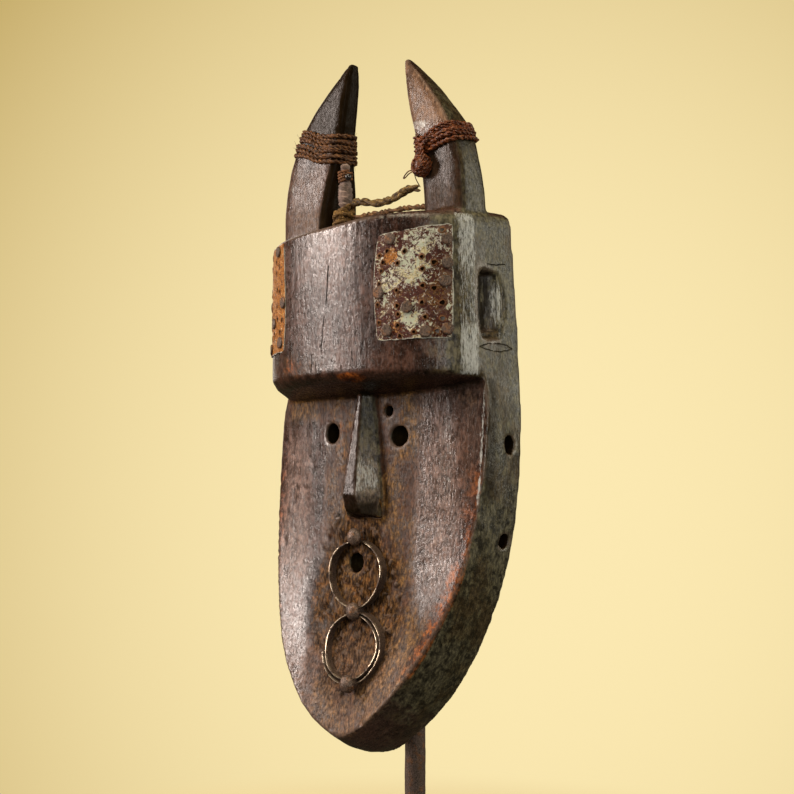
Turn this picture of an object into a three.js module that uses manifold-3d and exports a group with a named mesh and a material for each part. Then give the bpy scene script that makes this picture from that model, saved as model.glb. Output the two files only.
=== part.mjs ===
// A Toma mask of carved wood with horns, tin plates, iron rings and fibre cords, on its iron stand.
// Units are millimetres and +Z is up. The origin is the centre of the foot's underside.
// The mask's own group counts heights from the lowest point of its chin and depths from its
// open back, so that the front of the mask has negative y.

import * as THREE from 'three';
import { mergeVertices } from 'three/addons/utils/BufferGeometryUtils.js';
import Module from 'manifold-3d';

const wasm = await Module();
wasm.setup();

// Driving dimensions

const GAP = 0.35;

const FOOT_SIDE = 140;
const FOOT_THICKNESS = 14;
const FOOT_CHAMFER = 1.5;
const CHIN_HEIGHT = 97;
const MASK_BACK_Y = 25;

const ROD_RADIUS = 7.4;
const ROD_CRANK_START = 236;
const ROD_CRANK_END = 292;
const ROD_CRANK_REACH = 38;

const FACE_HALF_WIDTH = 100;
const FACE_SHOULDER = 233;
const FACE_TIP = 16;
const FACE_TAPER = 2.55;
const RIM_HALF_WIDTH = 97.6;
const RIM_SHOULDER = 188;
const RIM_TAPER = 2.25;
const RIM_BEND_HEIGHT = 245;
const RIM_BEND_START = 2.5;
const RIM_BEND = 35.5;
const OUTLINE_POWER = 4 / 3;
// Above the shoulders: heights and half-widths of the face's edge, then of the back rim
const SHIELD_TOP = [
  [241, 99, 206, 97.4],
  [249, 97.4, 224, 97],
  [257, 95.2, 243, 96.1],
  [270, 94.4, 262, 94.9],
  [285, 93.6, 285, 93.8],
];

// Heights, depths of the face's edge and depths of its middle line, from the brow to the chin
const FACE_PROFILE = [
  [285, -33.0, -49.5],
  [233, -36.8, -51.5],
  [183, -42.3, -52.5],
  [149, -47.6, -53.4],
  [125, -52.8, -55.0],
  [103, -58.4, -57.6],
  [74, -68.0, -62.4],
  [50, -74.6, -68.2],
  [33, -78.3, -73.4],
  [16, -77.5, -77.5],
];

const BROW_TOP = 364.3;
const BROW_TOP_SLOPE_X = 0.05;
const BROW_TOP_SLOPE_Y = 0.035;
const BROW_MIDDLE_Y = -60;
const BROW_EDGE = 257.2;
const BROW_HALF_WIDTH_TOP = 90.3;
const BROW_HALF_WIDTH_EDGE = 95.4;
const BROW_SIDE_DEPTH = 34.3;
const BROW_BULGE = 56.2;
const BROW_SQUARENESS = 2.255;
const BROW_BACK_TOP = -0.6;
const BROW_BACK_EDGE = 2.4;
const BROW_SHOULDER_FRONT = 3;
const BROW_SHOULDER_SIDE = 11;
const BROW_UNDER_MIDDLE = 245.7;
const BROW_UNDER_LEFT = 246;
const BROW_UNDER_RIGHT = 254.5;
const BROW_UNDER_BULGE = 12;

const WALL = 12.5;
const BROW_WALL = 14;
const CEILING = 346;
const HOLLOW_FLOOR = 14.5;

// Heights and depths of the hollow's middle line
const HOLLOW_PROFILE = [
  [14.5, -30],
  [22, -43],
  [33, -51],
  [50, -49.5],
  [74, -44.5],
  [103, -40.5],
  [149, -36.5],
  [233, -33.8],
  [246, -38],
  [258, -52],
  [271, -68],
  [285, -75],
  [334, -76],
  [346, -68],
];

const NOSE_X = 3;
const NOSE_TOP = 249;
const NOSE_TOP_HEIGHT = 8;
const NOSE_TOP_RIDGE = 1.7;
const NOSE_TOP_BASE = 11.5;
const NOSE_TIP = 169;
const NOSE_TIP_SLANT = 4.5;
const NOSE_TIP_HEIGHT = 19.5;
const NOSE_TIP_RIDGE = 6.6;
const NOSE_TIP_BASE = 20;
const NOSE_UNDERCUT = 8;

// Across and up: the left eye, then the right eye
const EYES = [
  [-33.8, 221.4],
  [31.6, 218.1],
];
const EYE_RADIUS = 7;
const MOUTH = [-5, 131.4];
const MOUTH_RADIUS = 7;
const BROW_PIT = [22.4, 235.6];
const BROW_PIT_RADIUS = 3.6;
const BROW_PIT_LENGTH = 12;
const SIDE_HOLES = [
  [-14.3, 211.6, 6],
  [-16.8, 147.8, 4.8],
];
const EAR_Y = -23.3;
const EAR_HEIGHT = 306;
const EAR_HALF_WIDTH = 12.5;
const EAR_HALF_HEIGHT = 22.5;
const EAR_DEPTH = 8;

// Heights, inner and outer sides, front and back of each horn
const HORN_PROFILES = {
  left: [
    [350, 46.5, 91, -49, -9],
    [384, 44.2, 91.5, -48.5, -11.5],
    [402, 40.7, 90.5, -47, -15.3],
    [418, 37.2, 87.5, -45.5, -20],
    [434, 33.6, 80.5, -44.8, -24],
    [447, 30.6, 71.5, -45, -26.3],
    [460, 28.2, 58.8, -45.2, -27.2],
    [472, 26, 45, -44.5, -28.5],
    [482, 24.4, 33, -43.2, -31],
    [489, 23, 26.5, -41.5, -34],
  ],
  right: [
    [350, 50.5, 87.5, -47.5, -17.5],
    [382, 48.7, 86, -47.5, -19.5],
    [399, 46.6, 84, -47, -21.2],
    [414, 44, 80.5, -47.5, -21.8],
    [429, 40.5, 74.5, -48, -22.5],
    [442, 36.7, 66.3, -47.3, -25.5],
    [453, 34, 58, -46.7, -28],
    [465, 31.4, 47.5, -45.2, -30.3],
    [474, 29.5, 38.5, -43.6, -33],
    [481, 27.4, 31, -41, -36.5],
  ],
};
const HORN_SQUARENESS = 6;
const HORN_SIDES = 20;

// Each plate's corners, as places across and heights: inner top, outer top, inner bottom, outer bottom
const PLATE_CORNERS = {
  left: [[47, 355.5], [87, 351], [48.5, 278.5], [87, 277.5]],
  right: [[45.6, 349], [86, 355.5], [44.2, 279.5], [87.4, 280.5]],
};
const PLATE_BOW = 2.8;
const PLATE_THICKNESS = 0.9;
const NAIL_RADIUS = 4;
const NAIL_HEIGHT = 1.3;
// Places of the nail heads on a plate: parts of its width and of its height
const PLATE_NAILS = [
  [0.22, 0.94],
  [0.95, 0.87],
  [0.95, 0.66],
  [0.93, 0.5],
  [0.03, 0.45],
  [0.17, 0.09],
  [0.49, 0.29],
  [0.71, 0.06],
  [0.95, 0.08],
];

// Half-widths and half-heights of the two rings, which are a little oval
const RING_RADII = [
  [24.6, 22.6],
  [24, 21.3],
];
const RING_THICKNESS = 1.1;
const RING_STAND = 5.4;
const RING_X = [0, 3.4];
const RING_HEIGHTS = [124.2, 75.5];
const STUD_X = [0.5, 3.6, 8.4];
const STUD_HEIGHTS = [149.4, 99.2, 51.8];
const STUD_RADIUS = 6.2;
const STUD_DOME = 4.2;
const STUD_SHANK = 1.1;

const WRAP_THICKNESS = 2.7;
const WRAPS = [
  { side: -1, low: 424.6, high: 445.4, slant: 6.7, tilt: 1.9 },
  { side: 1, low: 411, high: 426.5, slant: 4, tilt: 1.5 },
];
const WRAP_KNOT = [53, -50.5, 400.5];
const WRAP_KNOT_RADIUS = 8.2;
const WRAP_NECK = [50.4, -48.5, 408.5];
const WRAP_NECK_RADII = [6, 4.5, 8.5];

const PEG = [-33, -38.3];
const PEG_RADIUS = 3.4;
const PEG_FOOT = 364.6;
const PEG_TOP = 416.8;
const PEG_BINDING_RADIUS = 5.2;
const PEG_BINDING = [402, 413];
const PEG_KNOT_RADIUS = 8.4;
const PEG_KNOT_TOP = 389;
const PEG_NAIL = [7, -3.9, 406];
const PEG_NAIL_RADIUS = 2.5;

const UPPER_CORD_RADIUS = 2.4;
// The upper cord's route from the knot at the peg to its frayed end
const UPPER_CORD = [
  [-24.1, -38.8, 387.6],
  [-18.6, -39, 387.2],
  [-12.7, -39.4, 386.3],
  [-4, -39.8, 384.4],
  [5, -40.3, 383.3],
  [13.6, -40.7, 383.7],
  [20.8, -41.1, 385.3],
  [27.8, -41.5, 387.3],
  [36.1, -41.9, 388.8],
  [43.6, -42.3, 389],
];
const LOWER_CORD_RADIUS = 1.7;
// The lower cord's route from the knot at the peg to the foot of the other horn
const LOWER_CORD = [
  [-24.1, -38.5, 376.4],
  [-16, -38.6, 376.6],
  [-7.6, -38.8, 376.7],
  [1, -39, 376.5],
  [9.4, -39.2, 376.3],
  [17.7, -39.4, 376.3],
  [26, -39.5, 376.4],
  [34.1, -39.7, 375.9],
  [42.1, -39.9, 375.2],
  [48.6, -40, 374.6],
];

// Shared geometry helpers

// A value at a height between rows that are sorted by height, on a smooth curve through them
function through(rows, height, column) {
  const sorted = rows[0][0] < rows[rows.length - 1][0] ? rows : [...rows].reverse();
  const last = sorted.length - 1;
  const h = THREE.MathUtils.clamp(height, sorted[0][0], sorted[last][0]);
  let i = 0;
  while (i < last - 1 && h > sorted[i + 1][0]) i += 1;
  const slope = (j) => {
    const a = sorted[Math.max(j - 1, 0)];
    const b = sorted[Math.min(j + 1, last)];
    return (b[column] - a[column]) / (b[0] - a[0]);
  };
  const [p, q] = [sorted[i], sorted[i + 1]];
  const span = q[0] - p[0];
  const t = (h - p[0]) / span;
  return (
    (1 + 2 * t) * (1 - t) ** 2 * p[column] + t * (1 - t) ** 2 * span * slope(i)
    + t * t * (3 - 2 * t) * q[column] + t * t * (t - 1) * span * slope(i + 1)
  );
}

// A closed solid from rings of points: each ring joins the next, and both ends are closed by fans
function loft(rings) {
  const points = rings.flat();
  const n = rings[0].length;
  const faces = [];
  for (let r = 0; r + 1 < rings.length; r += 1) {
    for (let k = 0; k < n; k += 1) {
      const a = r * n + k;
      const b = r * n + ((k + 1) % n);
      faces.push([a, b, b + n], [a, b + n, a + n]);
    }
  }
  for (const [r, turn] of [[0, 1], [rings.length - 1, 0]]) {
    const middle = points.length;
    const total = rings[r].reduce((sum, p) => sum.map((v, i) => v + p[i]), [0, 0, 0]);
    points.push(total.map((v) => v / n));
    for (let k = 0; k < n; k += 1) {
      const a = r * n + k;
      const b = r * n + ((k + 1) % n);
      faces.push(turn ? [b, a, middle] : [a, b, middle]);
    }
  }
  return skin(points, faces);
}

// A closed tube round a loop of sections, such as a ring or a band: the last section joins the first
function loop(sections) {
  const points = sections.flat();
  const n = sections[0].length;
  const faces = [];
  sections.forEach((_, s) => {
    const next = ((s + 1) % sections.length) * n;
    for (let k = 0; k < n; k += 1) {
      const b = (k + 1) % n;
      faces.push([s * n + k, s * n + b, next + b], [s * n + k, next + b, next + k]);
    }
  });
  return skin(points, faces);
}

// A geometry of shared vertices with its faces pointing out, without its flat triangles
function skin(points, faces) {
  const geometry = new THREE.BufferGeometry();
  geometry.setAttribute('position', new THREE.Float32BufferAttribute(points.flat(), 3));
  geometry.setIndex(faces.flat());
  const merged = mergeVertices(geometry, 1e-3);
  const old = merged.index.array;
  const kept = [];
  for (let i = 0; i < old.length; i += 3) {
    const [a, b, c] = [old[i], old[i + 1], old[i + 2]];
    if (a !== b && b !== c && c !== a) kept.push(a, b, c);
  }
  if (volume(merged.attributes.position.array, kept) < 0) {
    for (let i = 0; i < kept.length; i += 3) [kept[i + 1], kept[i + 2]] = [kept[i + 2], kept[i + 1]];
  }
  merged.setIndex(kept);
  return merged;
}

function volume(positions, indices) {
  const [a, b, c] = [new THREE.Vector3(), new THREE.Vector3(), new THREE.Vector3()];
  let sum = 0;
  for (let i = 0; i < indices.length; i += 3) {
    a.fromArray(positions, 3 * indices[i]);
    b.fromArray(positions, 3 * indices[i + 1]);
    c.fromArray(positions, 3 * indices[i + 2]);
    sum += a.dot(b.cross(c));
  }
  return sum;
}

function solidOf(geometry) {
  const bare = geometry.clone();
  bare.deleteAttribute('normal');
  bare.deleteAttribute('uv');
  const merged = mergeVertices(bare, 1e-3);
  return new wasm.Manifold(new wasm.Mesh({
    numProp: 3,
    vertProperties: new Float32Array(merged.attributes.position.array),
    triVerts: new Uint32Array(merged.index.array),
  }));
}

function geometryOf(solid) {
  const mesh = solid.getMesh();
  const geometry = new THREE.BufferGeometry();
  geometry.setAttribute('position', new THREE.Float32BufferAttribute(mesh.vertProperties, 3));
  geometry.setIndex([...mesh.triVerts]);
  return geometry;
}

function turned(geometry, rotation, position) {
  const matrix = new THREE.Matrix4().makeRotationFromEuler(new THREE.Euler(...rotation));
  matrix.setPosition(...position);
  return geometry.clone().applyMatrix4(matrix);
}

function piece(name, geometry, material) {
  geometry.computeVertexNormals();
  const mesh = new THREE.Mesh(geometry, material);
  mesh.name = name;
  return mesh;
}

function tube(path, radius, sides, steps) {
  const section = new THREE.Shape();
  for (let k = 0; k < sides; k += 1) {
    const angle = (2 * Math.PI * k) / sides;
    const [x, y] = [radius * Math.cos(angle), radius * Math.sin(angle)];
    if (k === 0) section.moveTo(x, y);
    else section.lineTo(x, y);
  }
  section.closePath();
  return new THREE.ExtrudeGeometry(section, { steps, extrudePath: path, bevelEnabled: false });
}

// Materials

function material(color, roughness, metalness) {
  return new THREE.MeshStandardMaterial({ color, roughness, metalness });
}

const darkWood = material(0x4a3530, 0.45, 0);
const paintedTin = material(0x7b5a44, 0.5, 0.4);
const rustyIron = material(0x5a3c2c, 0.6, 0.6);
const wornIron = material(0x8a7f70, 0.35, 0.9);
const redCord = material(0x6b3a26, 0.9, 0);
const paleCord = material(0x8a6a36, 0.9, 0);
const greyStick = material(0x6a5648, 0.8, 0);
const standIron = material(0x43362c, 0.7, 0.7);

// The carved face

// Half-width and height of the face's edge, or of the back rim, at an angle from the shoulder to the tip
function outlinePoint(angle, halfWidth, shoulder, tip, taper) {
  const drop = Math.sin(angle) ** (2 / taper);
  return [halfWidth * Math.max(Math.cos(angle), 0) ** OUTLINE_POWER, shoulder - (shoulder - tip) * drop];
}

function faceHalfWidth(height) {
  if (height >= FACE_SHOULDER) return FACE_HALF_WIDTH;
  const drop = Math.min((FACE_SHOULDER - height) / (FACE_SHOULDER - FACE_TIP), 1);
  return FACE_HALF_WIDTH * (1 - drop ** FACE_TAPER) ** (OUTLINE_POWER / 2);
}

function faceY(x, height) {
  const edge = through(FACE_PROFILE, height, 1);
  const middle = through(FACE_PROFILE, height, 2);
  const across = Math.min(Math.abs(x) / faceHalfWidth(height), 1) || 0;
  return edge + (middle - edge) * (1 - across * across);
}

function rimY(height) {
  if (height >= RIM_BEND_HEIGHT) {
    const t = (height - RIM_BEND_HEIGHT) / (BROW_TOP - RIM_BEND_HEIGHT);
    return THREE.MathUtils.lerp(RIM_BEND_START, BROW_BACK_TOP, t);
  }
  return RIM_BEND_START - RIM_BEND * ((RIM_BEND_HEIGHT - height) / RIM_BEND_HEIGHT) ** 1.5;
}

function browHalfWidth(height) {
  const t = (height - BROW_EDGE) / (BROW_TOP - BROW_EDGE);
  return THREE.MathUtils.lerp(BROW_HALF_WIDTH_EDGE, BROW_HALF_WIDTH_TOP, Math.max(t, 0));
}

// Rows of the shield from the tip of the chin up to its top edge inside the brow, each with the
// half-width and height of the face's edge and of the back rim, and how the wall between swells
function shieldRows() {
  const rows = [];
  const curved = 13;
  const step = Math.PI / 2 / curved;
  const sideSwell = 1.5;
  const chinSwell = 4;
  for (let k = 0; k <= curved; k += 1) {
    const angle = (Math.PI / 2) * (1 - k / curved);
    const nearby = (turn) => outlinePoint(turn, FACE_HALF_WIDTH, FACE_SHOULDER, FACE_TIP, FACE_TAPER);
    const before = nearby(Math.min(angle + step, Math.PI / 2));
    const after = nearby(Math.max(angle - step, 0));
    const along = new THREE.Vector2(after[0] - before[0], after[1] - before[1]).normalize();
    const swell = THREE.MathUtils.lerp(sideSwell, chinSwell, Math.sin(angle) ** 4);
    rows.push({
      face: nearby(angle),
      rim: outlinePoint(angle, RIM_HALF_WIDTH, RIM_SHOULDER, 0, RIM_TAPER),
      swell: k === 0 ? [0, -chinSwell] : [along.y * swell, -along.x * swell],
    });
  }
  SHIELD_TOP.forEach(([faceHeight, faceWidth, rimHeight, rimWidth], k) => {
    const fade = Math.max(1 - (k + 1) / 3, 0);
    rows.push({ face: [faceWidth, faceHeight], rim: [rimWidth, rimHeight], swell: [sideSwell * fade, 0] });
  });
  return rows;
}

// The shield: convex front, side walls that bend forward to the chin, flat back
function shieldGeometry() {
  const across = 14;
  const wallSteps = 3;
  const rings = shieldRows().map(({ face, rim, swell }) => {
    const [faceWidth, faceHeight] = face;
    const [rimWidth, rimHeight] = rim;
    const edge = through(FACE_PROFILE, faceHeight, 1);
    const middle = through(FACE_PROFILE, faceHeight, 2);
    const ring = [];
    for (let k = 0; k <= across; k += 1) {
      const part = 1 - (2 * k) / across;
      const fall = faceWidth > 0 ? 1 - part * part : 0;
      ring.push([faceWidth * part, edge + (middle - edge) * fall, faceHeight]);
    }
    const wall = (side, t) => {
      const rise = Math.sin(Math.PI * t);
      return [
        side * (THREE.MathUtils.lerp(faceWidth, rimWidth, t) + swell[0] * rise),
        THREE.MathUtils.lerp(edge, rimY(rimHeight), t),
        THREE.MathUtils.lerp(faceHeight, rimHeight, t) + swell[1] * rise,
      ];
    };
    for (let k = 1; k < wallSteps; k += 1) ring.push(wall(-1, k / wallSteps));
    for (let k = 0; k <= across / 2; k += 1) {
      ring.push([rimWidth * (-1 + (4 * k) / across), rimY(rimHeight), rimHeight]);
    }
    for (let k = wallSteps - 1; k > 0; k -= 1) ring.push(wall(1, k / wallSteps));
    return ring;
  });
  return loft(rings);
}

// The plan of the brow at a height: back, side, then a rounded front, and so round to the back again
function browPlan(halfWidth, back, bulge, offset = 0) {
  const steps = 32;
  const start = back - BROW_SIDE_DEPTH;
  const power = 2 / BROW_SQUARENESS;
  const plan = [[halfWidth + offset, back], [halfWidth + offset, (back + start) / 2]];
  for (let k = 0; k <= steps; k += 1) {
    const angle = (Math.PI * k) / steps;
    const cosine = Math.cos(angle);
    plan.push([
      Math.sign(cosine) * (halfWidth + offset) * Math.abs(cosine) ** power,
      start - (bulge + offset) * Math.abs(Math.sin(angle)) ** power,
    ]);
  }
  plan.push([-halfWidth - offset, (back + start) / 2], [-halfWidth - offset, back]);
  return plan;
}

function browBack(height) {
  const t = (height - BROW_EDGE) / (BROW_TOP - BROW_EDGE);
  return THREE.MathUtils.lerp(BROW_BACK_EDGE, BROW_BACK_TOP, t);
}

function browGeometry() {
  const rings = [];
  const under = 3;
  for (let k = 0; k <= under; k += 1) {
    const t = k / under;
    const bulge = THREE.MathUtils.lerp(BROW_UNDER_BULGE, BROW_BULGE - 2, Math.sin((t * Math.PI) / 2));
    rings.push(browPlan(BROW_HALF_WIDTH_EDGE - 1, BROW_BACK_EDGE, bulge).map(([x, y]) => {
      const side = x < 0 ? BROW_UNDER_LEFT : BROW_UNDER_RIGHT;
      const low = THREE.MathUtils.lerp(BROW_UNDER_MIDDLE, side, (x / BROW_HALF_WIDTH_EDGE) ** 2);
      return [x, y, THREE.MathUtils.lerp(low, BROW_EDGE, t)];
    }));
  }
  const body = 3;
  const edgeRound = 2.5;
  const unit = browPlan(1, 0, 1);
  for (let k = 0; k <= body; k += 1) {
    rings.push(unit.map(([side, front]) => {
      const top = browTop(side, front) - shoulderAt(side);
      return browPoint(side, front, THREE.MathUtils.lerp(BROW_EDGE + edgeRound, top, k / body), 0);
    }));
  }
  for (const turn of [30, 60, 90]) {
    const angle = THREE.MathUtils.degToRad(turn);
    rings.push(unit.map(([side, front]) => {
      const shoulder = shoulderAt(side);
      const height = browTop(side, front) - shoulder * (1 - Math.sin(angle));
      return browPoint(side, front, height, shoulder * (1 - Math.cos(angle)));
    }));
  }
  return loft(rings);
}

// The height of the brow's top, which slopes a little, at a point of the unit plan
function browTop(side, front) {
  const y = front > -BROW_SIDE_DEPTH ? front : -BROW_SIDE_DEPTH + (front + BROW_SIDE_DEPTH) * BROW_BULGE;
  return BROW_TOP + side * BROW_HALF_WIDTH_TOP * BROW_TOP_SLOPE_X + (y - BROW_MIDDLE_Y) * BROW_TOP_SLOPE_Y;
}

function shoulderAt(side) {
  return THREE.MathUtils.lerp(BROW_SHOULDER_FRONT, BROW_SHOULDER_SIDE, Math.abs(side) ** 3);
}

// A point of the brow's surface from its unit plan, moved in by an inset
function browPoint(side, front, height, inset) {
  const halfWidth = browHalfWidth(height) - inset;
  const back = browBack(height);
  if (front > -BROW_SIDE_DEPTH) {
    return [side * halfWidth, back + front, height];
  }
  const start = -BROW_SIDE_DEPTH;
  return [side * halfWidth, back + start + (front - start) * (BROW_BULGE - inset), height];
}

// The hollow, open to the back, with walls of even thickness
function hollowGeometry() {
  const openBack = 12;
  const steps = 20;
  const cornerDepth = 12;
  const sideEndMost = -28;
  const ceilingRoundStart = CEILING - 12;
  const ceilingRoundSlope = 0.45;
  const [lowSquareness, browSquareness] = [2.8, 2.3];
  const lowHeights = [HOLLOW_FLOOR, 18, 24, 33, 46, 62, 82, 103, 128, 160, 200, 233, 246];
  const browHeights = [258, 271, 285, 310, ceilingRoundStart, CEILING - 4, CEILING];
  const rings = [...lowHeights, ...browHeights].map((height) => {
    const front = through(HOLLOW_PROFILE, height, 1);
    const drop = Math.max((RIM_SHOULDER - height) / (RIM_SHOULDER - HOLLOW_FLOOR + 2), 0);
    const rimInside = (RIM_HALF_WIDTH - WALL) * (1 - drop ** RIM_TAPER) ** (OUTLINE_POWER / 2);
    const topRound = Math.max(height - ceilingRoundStart, 0) * ceilingRoundSlope;
    const halfWidth = Math.min(rimInside, browHalfWidth(height) - WALL) - topRound;
    const sideEnd = Math.max(front + cornerDepth, sideEndMost);
    const power = 2 / (height > BROW_EDGE ? browSquareness : lowSquareness);
    const ring = [[halfWidth, openBack, height]];
    for (let k = 0; k <= steps; k += 1) {
      const angle = (Math.PI * k) / steps;
      const cosine = Math.cos(angle);
      const x = Math.sign(cosine) * halfWidth * Math.abs(cosine) ** power;
      ring.push([x, sideEnd - (sideEnd - front) * Math.abs(Math.sin(angle)) ** power, height]);
    }
    ring.push([-halfWidth, openBack, height]);
    return ring;
  });
  return loft(rings);
}

// A wedge that widens down to the tip: a narrow ridge in front, flanks, and a slanting underside
function noseGeometry() {
  const inside = 3;
  const steps = 4;
  const sections = [];
  for (let k = 0; k <= steps; k += 1) {
    const t = k / steps;
    const height = THREE.MathUtils.lerp(NOSE_TOP, NOSE_TIP, t);
    const stand = THREE.MathUtils.lerp(NOSE_TOP_HEIGHT, NOSE_TIP_HEIGHT, t);
    const ridge = THREE.MathUtils.lerp(NOSE_TOP_RIDGE, NOSE_TIP_RIDGE, t);
    const base = THREE.MathUtils.lerp(NOSE_TOP_BASE, NOSE_TIP_BASE, t);
    const slant = NOSE_TIP_SLANT * t ** 4;
    const low = height - NOSE_UNDERCUT * t ** 4;
    sections.push([
      [NOSE_X - base, faceY(NOSE_X - base, low) + inside, low],
      [NOSE_X - ridge, faceY(NOSE_X, height) - stand, height + slant],
      [NOSE_X + ridge, faceY(NOSE_X, height) - stand, height - slant],
      [NOSE_X + base, faceY(NOSE_X + base, low) + inside, low],
    ]);
  }
  return loft(sections);
}

function drill(x, y, height, radius, length, rotation) {
  return solidOf(turned(new THREE.CylinderGeometry(radius, radius, length, 14), rotation, [x, y, height]));
}

function earRecess(side) {
  const [padWidth, padTall] = [0.55, 0.86];
  const [padSunk, padBack] = [0.75, 0.32];
  const ball = new THREE.SphereGeometry(1, 16, 10);
  const x = side * browHalfWidth(EAR_HEIGHT);
  const hollow = ball.clone().scale(EAR_DEPTH, EAR_HALF_WIDTH, EAR_HALF_HEIGHT);
  const pad = ball.clone().scale(EAR_DEPTH, EAR_HALF_WIDTH * padWidth, EAR_HALF_HEIGHT * padTall);
  const padPlace = [x - side * EAR_DEPTH * padSunk, EAR_Y + EAR_HALF_WIDTH * padBack, EAR_HEIGHT];
  return solidOf(turned(hollow, [0, 0, 0], [x, EAR_Y, EAR_HEIGHT]))
    .subtract(solidOf(turned(pad, [0, 0, 0], padPlace)));
}

// Horns

function hornRows(side) {
  return HORN_PROFILES[side < 0 ? 'left' : 'right'];
}

function hornPoint(side, height, angle, offset) {
  const [inner, outer, front, back] = [1, 2, 3, 4].map((c) => through(hornRows(side), height, c));
  const power = 2 / HORN_SQUARENESS;
  const [cosine, sine] = [Math.cos(angle), Math.sin(angle)];
  const halfWidth = (outer - inner) / 2 + offset;
  const halfDepth = (back - front) / 2 + offset;
  return [
    side * ((outer + inner) / 2 + Math.sign(cosine) * halfWidth * Math.abs(cosine) ** power),
    (back + front) / 2 + Math.sign(sine) * halfDepth * Math.abs(sine) ** power,
    height,
  ];
}

function hornGeometry(side, offset = 0) {
  const rings = hornRows(side).map(([height]) => {
    const ring = [];
    for (let k = 0; k < HORN_SIDES; k += 1) {
      ring.push(hornPoint(side, height, (2 * Math.PI * (k + 0.5)) / HORN_SIDES, offset));
    }
    return ring;
  });
  return loft(rings);
}

function maskGeometry() {
  const along = [0, 0, 0];
  const sideways = [0, 0, Math.PI / 2];
  let solid = solidOf(shieldGeometry()).add(solidOf(browGeometry()));
  solid = solid.subtract(solidOf(hollowGeometry())).add(solidOf(noseGeometry()));
  const hole = 50;
  for (const [x, height] of EYES) {
    solid = solid.subtract(drill(x, faceY(x, height), height, EYE_RADIUS, hole, along));
  }
  solid = solid.subtract(drill(MOUTH[0], faceY(...MOUTH), MOUTH[1], MOUTH_RADIUS, hole, along));
  const pit = drill(BROW_PIT[0], faceY(...BROW_PIT), BROW_PIT[1], BROW_PIT_RADIUS, BROW_PIT_LENGTH, along);
  solid = solid.subtract(pit);
  for (const side of [-1, 1]) {
    solid = solid.subtract(earRecess(side));
    for (const [y, height, radius] of SIDE_HOLES) {
      solid = solid.subtract(drill(side * RIM_HALF_WIDTH, y, height, radius, hole, sideways));
    }
    solid = solid.add(solidOf(hornGeometry(side)));
  }
  return geometryOf(solid);
}

// Tin plates and their nails

// A point of a plate at parts of its width and height, standing off the brow by an offset
function platePoint(side, along, up, offset) {
  const [innerTop, outerTop, innerLow, outerLow] = PLATE_CORNERS[side < 0 ? 'left' : 'right'];
  const blend = (k) => THREE.MathUtils.lerp(
    THREE.MathUtils.lerp(innerLow[k], outerLow[k], along),
    THREE.MathUtils.lerp(innerTop[k], outerTop[k], along),
    up,
  );
  const bow = PLATE_BOW * (1 - along) * Math.sin(Math.PI * up);
  const [x, height] = [blend(0) - bow, blend(1)];
  const halfWidth = browHalfWidth(height);
  const part = Math.min(x / halfWidth, 0.9995);
  const depth = BROW_BULGE * (1 - part ** BROW_SQUARENESS) ** (1 / BROW_SQUARENESS);
  const slope = new THREE.Vector2(
    (BROW_SQUARENESS / halfWidth) * part ** (BROW_SQUARENESS - 1),
    (BROW_SQUARENESS / BROW_BULGE) * (depth / BROW_BULGE) ** (BROW_SQUARENESS - 1),
  ).normalize();
  return {
    point: [
      side * (x + slope.x * offset),
      browBack(height) - BROW_SIDE_DEPTH - depth - slope.y * offset,
      height,
    ],
    normal: [side * slope.x, -slope.y, 0],
  };
}

function plateGeometry(side) {
  const steps = 10;
  const heights = [0, 0.33, 0.67, 1];
  const rings = [];
  for (let k = 0; k <= steps; k += 1) {
    const back = heights.map((up) => platePoint(side, k / steps, up, GAP).point);
    const front = heights.map((up) => platePoint(side, k / steps, up, GAP + PLATE_THICKNESS).point);
    rings.push([...back, ...front.reverse()]);
  }
  return loft(rings);
}

function nailGeometry() {
  const profile = [
    new THREE.Vector2(0, 0),
    new THREE.Vector2(NAIL_RADIUS, 0),
    new THREE.Vector2(NAIL_RADIUS * 0.93, NAIL_HEIGHT * 0.6),
    new THREE.Vector2(0, NAIL_HEIGHT),
  ];
  return new THREE.LatheGeometry(profile, 8);
}

function plateNail(side, number, along, up) {
  const name = `plate_nail_${side < 0 ? 'left' : 'right'}_${number + 1}`;
  const { point, normal } = platePoint(side, along, up, PLATE_THICKNESS + 2 * GAP + 0.15);
  const nail = piece(name, nailGeometry(), rustyIron);
  nail.position.set(...point);
  nail.quaternion.setFromUnitVectors(new THREE.Vector3(0, 1, 0), new THREE.Vector3(...normal));
  return nail;
}

// Rings and studs on the chin

function ringGeometry(number) {
  const steps = 32;
  const [centreX, centreHeight] = [RING_X[number], RING_HEIGHTS[number]];
  const [halfWidth, halfHeight] = RING_RADII[number];
  const top = faceY(centreX, centreHeight + halfHeight);
  const bottom = faceY(centreX, centreHeight - halfHeight);
  const sections = [];
  for (let k = 0; k < steps; k += 1) {
    const [cosine, sine] = [Math.cos((2 * Math.PI * k) / steps), Math.sin((2 * Math.PI * k) / steps)];
    const at = (grow) => [centreX + (halfWidth + grow) * cosine, centreHeight + (halfHeight + grow) * sine];
    const [inner, outer] = [at(-RING_THICKNESS / 2), at(RING_THICKNESS / 2)];
    const front = THREE.MathUtils.lerp(bottom, top, (1 + sine) / 2) - RING_STAND;
    sections.push([
      [inner[0], faceY(...inner) - GAP, inner[1]],
      [inner[0], front, inner[1]],
      [outer[0], front, outer[1]],
      [outer[0], faceY(...outer) - GAP, outer[1]],
    ]);
  }
  return loop(sections);
}

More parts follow.
